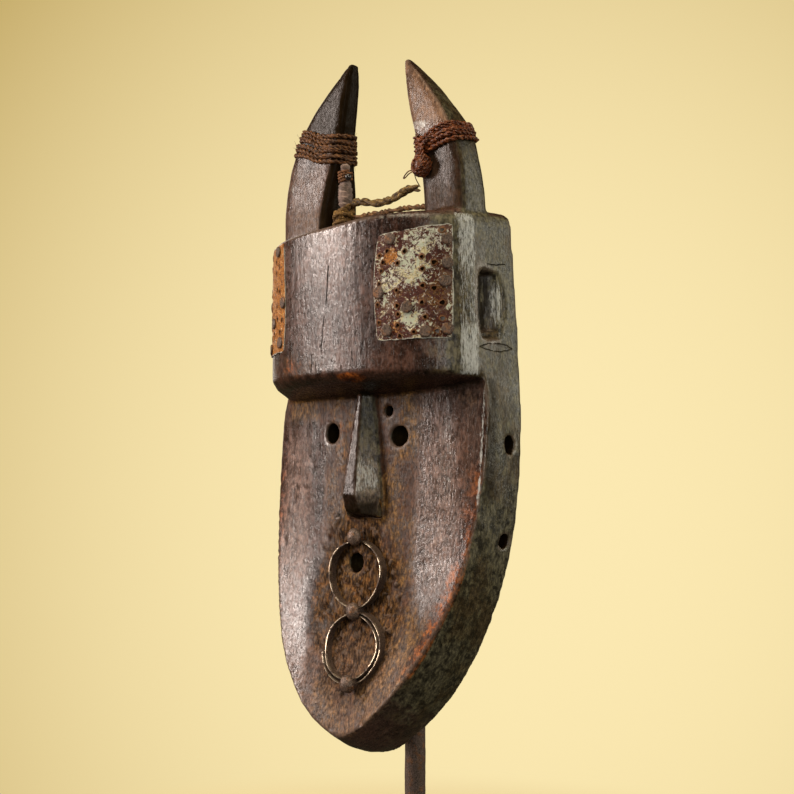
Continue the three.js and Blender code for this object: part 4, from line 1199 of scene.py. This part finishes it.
def plate_masks(obj, side, flat, to_hole):
    """Writes where a sheet is a cut rim, a hole's rim, pale, chipped or orange with rust."""
    sized = laid_out(side, flat)
    edge = np.minimum(flat * PLATE_SIZE, (1 - flat) * PLATE_SIZE).min(axis=1)

    def patch(across, level, wide, high):
        return spot(sized, (across, level, None), (wide, high, None), 0.6)

    if side > 0:
        pale = 0.26 * patch(30, 45, 13, 17) + 0.30 * patch(28, 16, 8, 8) + 0.14 * patch(10, 36, 8, 9)
        pale += 0.12 * patch(40, 62, 9, 9) - 0.22 * patch(30, 29, 16, 5) - 0.12 * patch(44, 33, 5, 25) + 0.30
        chipped = patch(11, 35, 9, 8) + patch(40, 63, 10, 7) + 0.5
        rusty = 0.62 * patch(13, 55, 7, 7) + 0.5 * patch(16, 8, 8, 6) + 0.40 * patch(47, 30, 5, 30)
    else:
        pale, chipped, rusty = (np.full(len(flat), level) for level in (0.15, 0.3, 0.75))
    write_mask(obj, "rim", fade(0.1, 1.2, edge))
    write_mask(obj, "hole", 0.75 * fade(HOLE_RADIUS * 1.1, HOLE_RADIUS * 2.3, to_hole))
    write_mask(obj, "pale", pale)
    write_mask(obj, "chipped", chipped)
    write_mask(obj, "orange", rusty)


def tin_plate(side, surface, material):
    """A sheet bent round the brow's corner, with an uneven outline and punched holes with torn rims."""
    name = "left" if side < 0 else "right"
    flat, faces, centres = flat_sheet(side)
    sized = laid_out(side, flat)
    to_hole = np.min([np.hypot(*((flat - centre) * PLATE_SIZE).T) for centre in centres], axis=0)
    rim = fade(HOLE_RADIUS * 0.9, HOLE_RADIUS * 2.0, to_hole)
    lift = 0.55 + 0.28 * layered(sized, 12, 61, 2) + 0.10 * noise(sized, 3, 64) + 0.55 * rim
    lift = np.maximum(lift + 0.25 * noise(sized, 1.1, 66) * rim, 0.25)
    placed = [on_brow(surface, side, *plate_place(side, *part), rise)[0] for part, rise in zip(flat, lift)]
    obj = mesh_object(f"tin_sheet_{name}", placed, faces)
    with reshaping(obj) as shape:
        bmesh.ops.delete(shape, geom=[v for v in shape.verts if not v.link_faces], context="VERTS")
    used = sorted({i for face in faces for i in face})
    plate_masks(obj, side, flat[used], to_hole[used])
    if obj.data.polygons[0].normal.y > 0:
        obj.data.flip_normals()
    modify(obj, "SOLIDIFY", thickness=TIN_THICKNESS * MM, offset=-1)
    return finish_piece(obj, material, "painted_tin", f"tin_plate_{name}", smooth=40)


def nail_head(name, point, out, material):
    """A flat domed head with a bevelled, slightly uneven edge."""
    bpy.ops.mesh.primitive_cylinder_add(vertices=28, radius=NAIL_RADIUS * MM, depth=NAIL_DEPTH * MM)
    obj = bpy.context.object
    obj.name = name
    with editing(obj):
        bpy.ops.mesh.bevel(offset=0.26 * MM, segments=2)
    with reshaping(obj) as shape:
        top = [f for f in shape.faces if f.normal.z > 0.9]
        inset = bmesh.ops.inset_region(shape, faces=top, thickness=0.8 * MM)["faces"]
        middle = [f for f in shape.faces if f.normal.z > 0.9 and f not in inset]
        bmesh.ops.poke(shape, faces=middle, offset=-0.1 * MM)
    places = read(obj.data.vertices, "co", 3) / MM
    shift = np.array([sum(map(ord, name)) % 97, 0, 0])
    places[:, :2] *= (1 + 0.05 * noise(places * 0.6 + shift, 2.2, 71))[:, None]
    places[:, 2] += 0.10 * noise(places + shift, 1.6, 72)
    obj.data.vertices.foreach_set("co", (places * MM).ravel())
    turn = Vector((0, 0, 1)).rotation_difference(out)
    obj.matrix_world = Matrix.Translation(point) @ turn.to_matrix().to_4x4()
    settle(obj)
    return finish_piece(obj, material, "rusty_iron", name.replace("head", "nail"), smooth=50)


# Rings and studs on the chin


RINGS = [
    {"x": 0, "height": 124.2, "half_width": 24.6, "half_height": 22.6, "start": 92, "turn": 356},
    {"x": 3.4, "height": 75.5, "half_width": 24, "half_height": 21.3, "start": 192, "turn": 610},
]
RING_THICKNESS = 0.95
RING_LAP = 3.2
RING_STAND = 5.4
# The strip's section: parts of its thickness outwards, parts of its depth backwards and how bright it is
# worn, which also paints a highlight on the front edge
RING_SECTION = [
    (-0.5, 0.22, 0.7), (-0.28, 0.0, 1.0), (0.28, 0.0, 1.0), (0.5, 0.22, 0.7),
    (0.5, 0.5, 0.1), (0.5, 1, 0.0), (-0.5, 1, 0.0), (-0.5, 0.5, 0.1),
]
STUDS = [(0.5, 149.4), (3.6, 99.2), (8.4, 51.8)]
STUD_RADIUS = 6.1


def face_depth(surface, x, height):
    return in_mask(surface.ray_cast(place(x, FAR_FRONT, height), BACKWARD)[0])[1]


def chin_ring(number, surface, material):
    """A flat strip on edge, bent to a ring, with its ends under the studs or lapped."""
    ring = RINGS[number]
    steps = int(ring["turn"] / 2.5)
    low = face_depth(surface, ring["x"], ring["height"] - ring["half_height"])
    top = face_depth(surface, ring["x"], ring["height"] + ring["half_height"])
    points = []
    for k in range(steps + 1):
        degrees = ring["start"] + ring["turn"] * k / steps
        angle = math.radians(degrees)
        lap = RING_LAP * (1 - float(ease(400, 500, degrees))) if ring["turn"] > 360 else 0
        cosine, sine = math.cos(angle), math.sin(angle)
        wobble = 0.35 * math.sin(3 * angle + number) + 0.25 * math.sin(5 * angle + 1)
        front = low + (top - low) * (1 + sine) / 2 - RING_STAND + 0.3 * math.sin(2 * angle + 2 * number)
        for grow, forward, _ in RING_SECTION:
            reach = grow * RING_THICKNESS + wobble + lap
            x = ring["x"] + (ring["half_width"] + reach) * cosine
            height = ring["height"] + (ring["half_height"] + reach) * sine
            back = face_depth(surface, x, height) - 0.1
            points.append(place(x, front + (back - front) * forward, height))
    obj = mesh_object(f"iron_ring_{number + 1}", points, tube_faces(steps + 1, len(RING_SECTION)))
    with editing(obj):
        bpy.ops.mesh.normals_make_consistent(inside=False)
    write_mask(obj, "worn", np.tile([bright for _, _, bright in RING_SECTION], steps + 1))
    return finish_piece(obj, material, "ring_iron", f"chin_ring_{number + 1}", smooth=50)


def chin_stud(number, surface, material):
    """A forged stud with a pitted dome, sunk into the crust."""
    x, height = STUDS[number]
    depth = face_depth(surface, x, height)
    bpy.ops.mesh.primitive_uv_sphere_add(segments=40, ring_count=24, radius=1)
    obj = bpy.context.object
    obj.name = f"stud_{number + 1}"
    ball = read(obj.data.vertices, "co", 3)
    up = np.clip(ball[:, 2], -1, 1)
    reach = np.hypot(ball[:, 0], ball[:, 1])
    wide = np.where(up > -0.05, reach, np.minimum(reach, 0.62)) / np.maximum(reach, 1e-6)
    dome = ball.copy()
    dome[:, :2] *= wide[:, None] * STUD_RADIUS
    dome[:, 2] = RING_STAND + 1.3 + np.where(up > 0, 4.6, 7.5) * up
    own = dome + 40 * number
    dome += (0.30 * noise(own, 2.4, 81) + 0.16 * noise(own, 1.1, 83))[:, None] * ball
    set_points(obj, np.column_stack([dome[:, 0] + x, depth - dome[:, 2], dome[:, 1] + height]))
    return finish_piece(obj, material, "rusty_iron", f"chin_stud_{number + 1}", smooth=180)


# Cord wound on the horns


HORN_AXES = {-1: [(402, -65.6, -31), (434, -57, -34.4), (450, -49, -35.6)],
             1: [(399, 65.3, -34), (429, 57.5, -35), (442, 51.5, -36.4)]}
WRAPS = {
    -1: {"low": 423.9, "high": 442.7, "slant": 5.0, "tilt": 1.9, "turns": 5.4},
    1: {"low": 411.8, "high": 425.6, "slant": 4, "tilt": 1.5, "turns": 4.3},
}
WRAP_CORD_RADIUS = 1.65
POINTS_PER_TURN = 56
KNOT = (53, -50.5, 400.5)
KNOT_RADIUS = 7.6


def horn_skin(surface, side, height, angle, lift):
    """A point on a horn at a height and an angle, where angle 0 is its outer side."""
    heights, xs, ys = zip(*HORN_AXES[side])
    start = place(np.interp(height, heights, xs), np.interp(height, heights, ys), height)
    way = Vector((side * math.cos(angle), math.sin(angle), 0))
    return in_mask(surface.ray_cast(start, way)[0] + way * lift * MM)


def winding_route(surface, side, wrap, phase):
    """The route of cord wound round a horn, from the bottom of its band to the top."""
    total = int(wrap["turns"] * POINTS_PER_TURN)
    route = []
    for k in range(total + 1):
        angle = 2 * math.pi * k / POINTS_PER_TURN + phase
        height = wrap["low"] + (wrap["high"] - wrap["low"]) * k / total
        height += wrap["slant"] * math.cos(angle) + wrap["tilt"] * math.sin(angle)
        height += 0.5 * math.sin(1.7 * angle + side)
        lift = WRAP_CORD_RADIUS + 0.25 + 0.25 * math.sin(2.3 * angle)
        route.append(horn_skin(surface, side, height, angle, lift))
    route = np.array(route)
    for _ in range(4):
        route[1:-1] = (route[:-2] + 2 * route[1:-1] + route[2:]) / 4
    return route


def twist_into(sweep, route, radius, turns_per_mm, seed):
    """Adds a cord of two strands along a route."""
    for strand in twisted(route, 2, radius * 0.52, turns_per_mm, 0.0, 1.2, seed):
        swell = 1 + 0.13 * noise(strand + seed, 3.0, seed)
        sweep.tube(strand, radius * 0.56 * swell, 7)


def loose_fibres(sweep, route, count, seed, length=7.0, radius=0.16):
    """Thin stray hairs that stand off a cord."""
    chance = np.random.default_rng(seed)
    for _ in range(count):
        start = route[chance.integers(2, len(route) - 2)]
        way = chance.normal(size=3)
        way /= np.linalg.norm(way)
        bend = chance.normal(size=3) * 0.35
        size = length * chance.uniform(0.4, 1.0)
        hair = [start + way * size * t + bend * size * t * t for t in np.linspace(0, 1, 6)]
        sweep.tube(hair, radius * np.linspace(1, 0.4, 6), 4)


def horn_wrap(side, surface, material):
    wrap = WRAPS[side]
    sweep = Sweep()
    route = winding_route(surface, side, wrap, 2.2)
    twist_into(sweep, route, WRAP_CORD_RADIUS + 0.2, 0.11, 3 + side)
    second = dict(wrap, turns=wrap["turns"] * 0.55, low=wrap["low"] + 2.2, high=wrap["high"] - 1.5,
                  slant=wrap["slant"] + 1.6, tilt=wrap["tilt"] - 2.0)
    cross = winding_route(surface, side, second, 0.6)
    centre = cross.mean(0)
    cross[:, :2] += (cross[:, :2] - centre[:2]) * 0.045
    twist_into(sweep, cross, WRAP_CORD_RADIUS - 0.2, 0.12, 9 + side)
    loose_fibres(sweep, route, 26, 5 + side)
    if side > 0:
        knot_strands(sweep, surface)
    name = "left" if side < 0 else "right"
    finish_piece(sweep.object(f"horn_binding_{name}"), material, "red_cord", f"horn_cord_{name}", smooth=80)


def knot_strands(sweep, surface):
    """The lump where the right horn's cords are tied: cords that come down to it, and loops round it."""
    knot = np.array(KNOT)
    for k in range(5):
        start = horn_skin(surface, 1, 414.5 + 1.8 * k, -1.9 + 0.16 * k, 2.6)
        middle = knot + (2.5 - 1.6 * k, -2.2 + 0.5 * k, 9.5)
        end = knot + (4 - 2 * k, -1, 3)
        route = fine_route([start, (start + middle) / 2 + (0, -1.2, 0.5), middle, end], 0.9)
        twist_into(sweep, route, 1.35, 0.16, 20 + k)
    for k in range(11):
        tip = 0.5 + 2.4 * k
        lean = 0.9 * math.sin(1.9 * k)
        first = np.array([math.cos(tip), math.sin(tip) * 0.5, math.sin(tip)])
        first /= np.linalg.norm(first)
        other = np.cross(first, (math.sin(lean), math.cos(lean), 0.3 * math.cos(k)))
        other /= np.linalg.norm(other)
        radius = KNOT_RADIUS - 1.3 - 0.14 * (k % 3)
        turn = np.linspace(0, 2 * np.pi * 0.92, 40)
        loop = knot + radius * (np.cos(turn)[:, None] * first + np.sin(turn)[:, None] * other)
        loop[:, 2] = knot[2] + (loop[:, 2] - knot[2]) * 1.12
        twist_into(sweep, loop, 1.3, 0.15, 40 + k)
    rises = np.linspace(-6, 6, 9)
    sweep.tube([knot + (0, 0, z) for z in rises], 5.4 * np.sqrt(np.clip(1 - (rises / 6.6) ** 2, 0.05, 1)), 12)
    loop = [(47.5, -54, 397.5), (44.6, -54.6, 397.0), (42.2, -55.2, 394.8), (41.0, -55.6, 392.6),
            (42.4, -55.4, 392.8), (45.0, -54.8, 395.0), (48.0, -54.2, 396.4)]
    sweep.tube(fine_route(loop, 0.7), 0.42, 6)
    hair = [(50.2, -54.5, 394.5), (49.6, -52.5, 391.5), (47.6, -47.5, 388.8), (45.6, -43.8, 387.8)]
    sweep.tube(fine_route(hair, 0.9), 0.34, 5)


# The peg and what is tied to it


PEG = (-33, -38.3)
PEG_RADIUS = 3.4


def peg_stick(material):
    """A weathered stick with a blunt uneven top."""
    sweep = Sweep()
    heights = np.linspace(364.7, 416.6, 60)
    taper = PEG_RADIUS * (1 - 0.10 * ease(395, 410, heights) + 0.14 * ease(411, 415, heights))
    taper *= np.where(heights > 415.2, np.sqrt(np.clip(1 - ((heights - 415.2) / 1.9) ** 2, 0.2, 1)), 1)
    route = [(PEG[0] + 0.25 * math.sin(h / 9), PEG[1] + 0.2 * math.cos(h / 7), h) for h in heights]
    sweep.tube(route, taper, 22)
    obj = sweep.object("stick")
    points, normals = points_of(obj), normals_of(obj)
    ridges = 0.22 * noise(points, (1.4, 1.4, 12), 91) + 0.12 * noise(points, 1.2, 93)
    set_points(obj, points + normals * ridges[:, None])
    return finish_piece(obj, material, "grey_stick", "peg", smooth=180)


def coil_round_peg(sweep, low, high, radius, cord, seed, lean=0.6, turns=None):
    """Cord wound round the stick between two heights."""
    turns = turns or (high - low) / (cord * 2)
    count = int(turns * 30)
    route = []
    for k in range(count + 1):
        angle = 2 * math.pi * k / 30 + seed
        height = low + (high - low) * k / count + lean * math.sin(angle)
        reach = radius + 0.3 * math.sin(2.1 * angle + seed)
        route.append((PEG[0] + reach * math.cos(angle), PEG[1] + reach * math.sin(angle), height))
    twist_into(sweep, np.array(route), cord, 0.2, seed)


def peg_strip():
    """A smooth strip wound on the stick in a few slanting folds."""
    sweep = Sweep()
    heights = np.linspace(385.5, 403.2, 70)
    swell = PEG_RADIUS + 1.9 * np.sqrt(np.clip(1 - ((heights - 394.4) / 9.2) ** 2, 0.02, 1))
    sweep.tube([(PEG[0], PEG[1], h) for h in heights], swell, 40)
    obj = sweep.object("stick_wrapping")
    points, normals = points_of(obj), normals_of(obj)
    turn = np.arctan2(points[:, 1] - PEG[1], points[:, 0] - PEG[0]) / (2 * np.pi)
    part = (points[:, 2] / 4.4 + turn + 0.25 * noise(points, 7, 87)) % 1
    fold = 0.75 * np.where(part < 0.86, part, (1 - part) * 6)
    change = (fold - 0.4 + 0.2 * noise(points, 1.6, 88)) * ease(385.5, 387.5, points[:, 2])
    set_points(obj, points + normals * change[:, None])
    return obj


def peg_fittings(red, pale, strip, bead_material):
    binding = Sweep()
    coil_round_peg(binding, 404.2, 411.6, PEG_RADIUS + 1.15, 1.05, 3)
    finish_piece(binding.object("stick_binding"), red, "red_cord", "peg_binding", smooth=80)
    finish_piece(peg_strip(), strip, "grey_stick", smooth=80)
    knot = Sweep()
    coil_round_peg(knot, 366.8, 384.5, PEG_RADIUS + 2.2, 2.3, 7, 2.0)
    coil_round_peg(knot, 368.0, 380.0, PEG_RADIUS + 4.6, 1.9, 8, -3.2, turns=2.2)
    for k, (height, reach, rise) in enumerate(((372, 7.4, 6), (377, 6.8, -7), (383, 6.0, 6))):
        turn = np.linspace(0, 2 * np.pi * 0.8, 34) + 2.0 * k
        loop = np.column_stack([PEG[0] + reach * np.cos(turn), PEG[1] + reach * np.sin(turn),
                                height + rise * np.sin(turn + 1.0) * 0.6])
        twist_into(knot, loop, 1.8, 0.14, 60 + k)
    loose_fibres(knot, np.array([(PEG[0] + 5, PEG[1] - 5, h) for h in np.linspace(368, 384, 12)]), 12, 77, 6)
    finish_piece(knot.object("fibre_knot"), pale, "fibre_cord", "peg_knot", smooth=80)
    bpy.ops.mesh.primitive_uv_sphere_add(segments=24, ring_count=16, radius=2.5 * MM,
                                         location=place(PEG[0] + 7, PEG[1] - 3.9, 406))
    bead = bpy.context.object
    bead.name = "dark_bead"
    settle(bead)
    finish_piece(bead, bead_material, "rusty_iron", "peg_nail", smooth=180)


def free_cords(upper_fibre, lower_fibre):
    """The two free cords: coarse twisted fibre along their routes, the upper one frayed into three."""
    upper = fine_route(UPPER_CORD, 0.7)
    lengths = lengths_along(upper)
    fray = ease(lengths[-1] - 11, lengths[-1], lengths)
    sweep = Sweep()
    strands = twisted(upper, 2, UPPER_CORD_RADIUS * 0.48 * (1 - 0.5 * fray), 0.045, 0.9, 1.6, 4)
    strands += twisted(upper, 1, UPPER_CORD_RADIUS * 0.86, 0.045, 2.6, 1.9, 7)
    ends = ((0, 0, 0.3, 0.82, 0), (0.4, 0, -3.2, 0.74, 0), (0, 0, 1.2, 0.36, 10))
    for k, (strand, (*bend, size, short)) in enumerate(zip(strands, ends)):
        strand = (strand + fray[:, None] * bend)[:len(strand) - short]
        radius = UPPER_CORD_RADIUS * size * (1 - 0.35 * fray[:len(strand)])
        radius = radius * (1 + 0.12 * noise(strand, 3, 51 + k))
        radius[-3:] *= (0.85, 0.6, 0.3)
        sweep.tube(strand, radius, 10)
    loose_fibres(sweep, upper, 34, 11, 3.2, 0.14)
    obj = finish_piece(sweep.object("cord_thick"), upper_fibre, "fibre_cord", "cord_upper", smooth=80)
    path = [place(*p) for p in upper[:-3]]
    lower = fine_route(LOWER_CORD, 0.5)
    sweep = Sweep()
    for k, strand in enumerate(twisted(lower, 2, LOWER_CORD_RADIUS * 0.56, 0.085, 0.3, 1.8, 6)):
        sweep.tube(strand, LOWER_CORD_RADIUS * 0.70 * (1 + 0.12 * noise(strand, 2.5, 55 + k)), 9)
    loose_fibres(sweep, lower, 30, 13, 2.4, 0.13)
    obj = finish_piece(sweep.object("cord_thin"), lower_fibre, "fibre_cord", "cord_lower", smooth=80)
    path = [place(*p) for p in lower]


# The iron stand


ROD_RADIUS = 7.35
FOOT_SIDE = 140
FOOT_THICKNESS = 14
# The heights between which the rod is led forwards into the mask, and how far
CRANK = (236, 292, -38)


def stand_pieces(material):
    """The rod, rough and a little uneven, and the foot with softened edges."""
    rod = Sweep()
    low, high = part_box("stand_rod")
    heights = np.arange(low.z / MM - CHIN_HEIGHT, high.z / MM - CHIN_HEIGHT, 2.0)
    start, end, forward = CRANK
    rod.tube(np.column_stack([heights * 0, forward * ease(start, end, heights), heights]), ROD_RADIUS, 24)
    obj = rod.object("rod")
    points, normals = points_of(obj), normals_of(obj)
    flat = np.abs(normals[:, 2]) < 0.7
    rough = 0.32 * layered(points, (7, 7, 15), 95, 3) + 0.14 * noise(points, 2.2, 97)
    set_points(obj, points + normals * (rough * flat)[:, None])
    finish_piece(obj, material, "stand_iron", "stand_rod", smooth=180)
    bpy.ops.mesh.primitive_cube_add(size=1, location=(0, 0, FOOT_THICKNESS / 2 * MM),
                                    scale=(FOOT_SIDE * MM, FOOT_SIDE * MM, FOOT_THICKNESS * MM))
    foot = bpy.context.object
    foot.name = "foot"
    settle(foot)
    modify(foot, "BEVEL", width=1.6 * MM, segments=3)
    finish_piece(foot, material, "stand_iron", "stand_foot", smooth=40)


# Stage and light, in metres


BOUNCE = 0.07
FLOOR_RADIUS = 3.2
FLOOR_CURVE = 1.2
WALL_HEIGHT = 3.0

# Name, azimuth and rise in degrees, distance, size, power and colour
LIGHTS = [
    ("key", -44, 17, 1.7, (0.36, 0.9), 31, (1.0, 0.86, 0.78)),
    ("near", 55, 6, 1.8, (0.3, 1.0), 8, (1.0, 0.95, 0.88)),
    ("side", 132, 16, 1.9, (0.8, 1.2), 14.5, (1.0, 0.95, 0.78)),
    ("left", -112, 18, 1.9, (0.6, 1.2), 3, (1.0, 0.88, 0.76)),
    ("top", 22, 60, 1.8, (1.2, 1.2), 28, (1.0, 0.86, 0.62)),
]


def backdrop_material():
    """Pale yellow paper: it glows for the camera, brightest near the mask, and is plain under the stand."""
    material, tree, shader = new_material("pale paper")
    where = add(tree, "ShaderNodeTexCoord").outputs["Object"]
    radius = vector_maths(tree, "LENGTH", vector_maths(tree, "MULTIPLY", where, (1, 1, 0)), output="Value")
    away = vector_maths(tree, "NORMALIZE", vector_maths(tree, "SUBTRACT", where, CAMERA_PLACE))
    turn, rise = math.radians(CAMERA_AZIMUTH), math.radians(CAMERA_RISE)
    right = (math.cos(turn), math.sin(turn), 0)
    up = (math.sin(turn) * math.sin(rise), -math.cos(turn) * math.sin(rise), math.cos(rise))
    squares = []
    for way, centre, fall in zip((right, up), GLOW_CENTRE, GLOW_FALL):
        side = vector_maths(tree, "DOT_PRODUCT", away, way, output="Value") - centre
        squares.append(side * side * fall)
    dimmed = ((squares[0] + squares[1]) ** 1.25).clamped()
    camera = Level(add(tree, "ShaderNodeLightPath").outputs["Is Camera Ray"])
    glow = camera * radius.between(0.12, 0.42)
    hidden = (glow + (1.0 - camera)).clamped()
    feed(shader, {"Base Color": hidden.mix((0.80, 0.66, 0.36), (0.0, 0.0, 0.0)), "Roughness": 1.0,
                  "Specular IOR Level": 0.0,
                  "Emission Color": dimmed.mix((0.973, 0.815, 0.445), (0.578, 0.429, 0.159)),
                  "Emission Strength": glow + (1.0 - camera) * BOUNCE})
    return material


def add_stage():
    """A pale floor that curves up into a wall all round."""
    bpy.ops.mesh.primitive_circle_add(vertices=96, radius=FLOOR_RADIUS, fill_type="NGON")
    floor = bpy.context.object
    floor.name = "backdrop"
    with editing(floor):
        for k in range(1, 10):
            last, angle = math.radians(10 * (k - 1)), math.radians(10 * k)
            was, now = (FLOOR_RADIUS + FLOOR_CURVE * math.sin(a) for a in (last, angle))
            grow = now / was
            bpy.ops.mesh.extrude_region_move()
            bpy.ops.transform.resize(value=(grow, grow, 1))
            bpy.ops.transform.translate(value=(0, 0, FLOOR_CURVE * (math.cos(last) - math.cos(angle))))
        bpy.ops.mesh.extrude_region_move()
        bpy.ops.transform.translate(value=(0, 0, WALL_HEIGHT))
    floor.data.materials.append(backdrop_material())


def soft_light(name, azimuth, rise, distance, size, power, color):
    """A rectangular light that faces the middle of the mask."""
    middle = Vector((0, 0, 0.33))
    a, e = math.radians(azimuth), math.radians(rise)
    back = Vector((math.sin(a) * math.cos(e), -math.cos(a) * math.cos(e), math.sin(e)))
    bpy.ops.object.light_add(type="AREA", location=middle + back * distance)
    light = bpy.context.object
    light.name = name
    light.rotation_euler = (-back).to_track_quat("-Z", "Y").to_euler()
    light.data.shape = "RECTANGLE"
    light.data.size, light.data.size_y = size
    light.data.energy = power
    light.data.color = color
    light.visible_camera = False


def add_lights():
    for light in LIGHTS:
        soft_light(*light)
    world = bpy.data.worlds.new("room")
    bpy.context.scene.world = world
    world.use_nodes = True
    feed(world.node_tree.nodes["Background"], {"Color": (1.0, 0.86, 0.66, 1), "Strength": 0.1})
    bpy.context.scene.view_settings.view_transform = "Standard"


def surface_of(obj):
    """A tree of a piece's faces for finding points on it."""
    return BVHTree.FromObject(obj, bpy.context.evaluated_depsgraph_get())


# Name, dark and light colour, colour of the painted glints on the bright hairs and roughness
FIBRES = [
    ("golden fibre", (0.060, 0.028, 0.007), (0.17, 0.090, 0.022), (0.48, 0.30, 0.09), 0.75),
    ("olive fibre", (0.030, 0.014, 0.003), (0.120, 0.068, 0.014), (0.52, 0.33, 0.09), 0.62),
    ("brown fibre", (0.045, 0.020, 0.006), (0.170, 0.075, 0.022), (0.46, 0.25, 0.09), 0.6),
    ("red fibre", (0.034, 0.011, 0.003), (0.120, 0.044, 0.011), (0.50, 0.24, 0.08), 0.5),
    ("dark red fibre", (0.045, 0.009, 0.003), (0.170, 0.044, 0.012), (0.48, 0.20, 0.07), 0.36),
    ("orange fibre", (0.08, 0.03, 0.012), (0.26, 0.105, 0.035), (0.45, 0.24, 0.10), 0.6),
    ("grey bark", (0.10, 0.065, 0.05), (0.24, 0.17, 0.14), (0.36, 0.28, 0.23), 0.75),
    ("grey strip", (0.11, 0.075, 0.06), (0.26, 0.18, 0.15), (0.36, 0.28, 0.24), 0.6),
]


def build():
    add_camera()
    golden, olive, brown, red, dark_red, orange, grey, strip = (fibre_material(*row) for row in FIBRES)
    stud = rust_material("stud iron", 0.42, 0.35, 0.5, 0.7)
    nail = rust_material("nail iron", 0.44, 0.2, 0.5, 0.45)
    stand = rust_material("stand iron", 0.42, 0.2, 0.6, 0.5)
    free_cords(olive, brown)
    surface = surface_of(carved_mask())
    tin = tin_material()
    for side, name in ((-1, "left"), (1, "right")):
        tin_plate(side, surface, tin)
        for number, (along, up) in enumerate(NAILS):
            point, out = on_brow(surface, side, *plate_place(side, along, up), 1.1)
            nail_head(f"plate_head_{name}_{number + 1}", point, out, nail)
        horn_wrap(side, surface, red if side < 0 else dark_red)
    ring = ring_material()
    for number in range(len(RINGS)):
        chin_ring(number, surface, ring)
    for number in range(len(STUDS)):
        chin_stud(number, surface, stud)
    peg_stick(grey)
    peg_fittings(orange, golden, strip, dark_bead_material())
    stand_pieces(stand)
    add_stage()
    add_lights()


build()
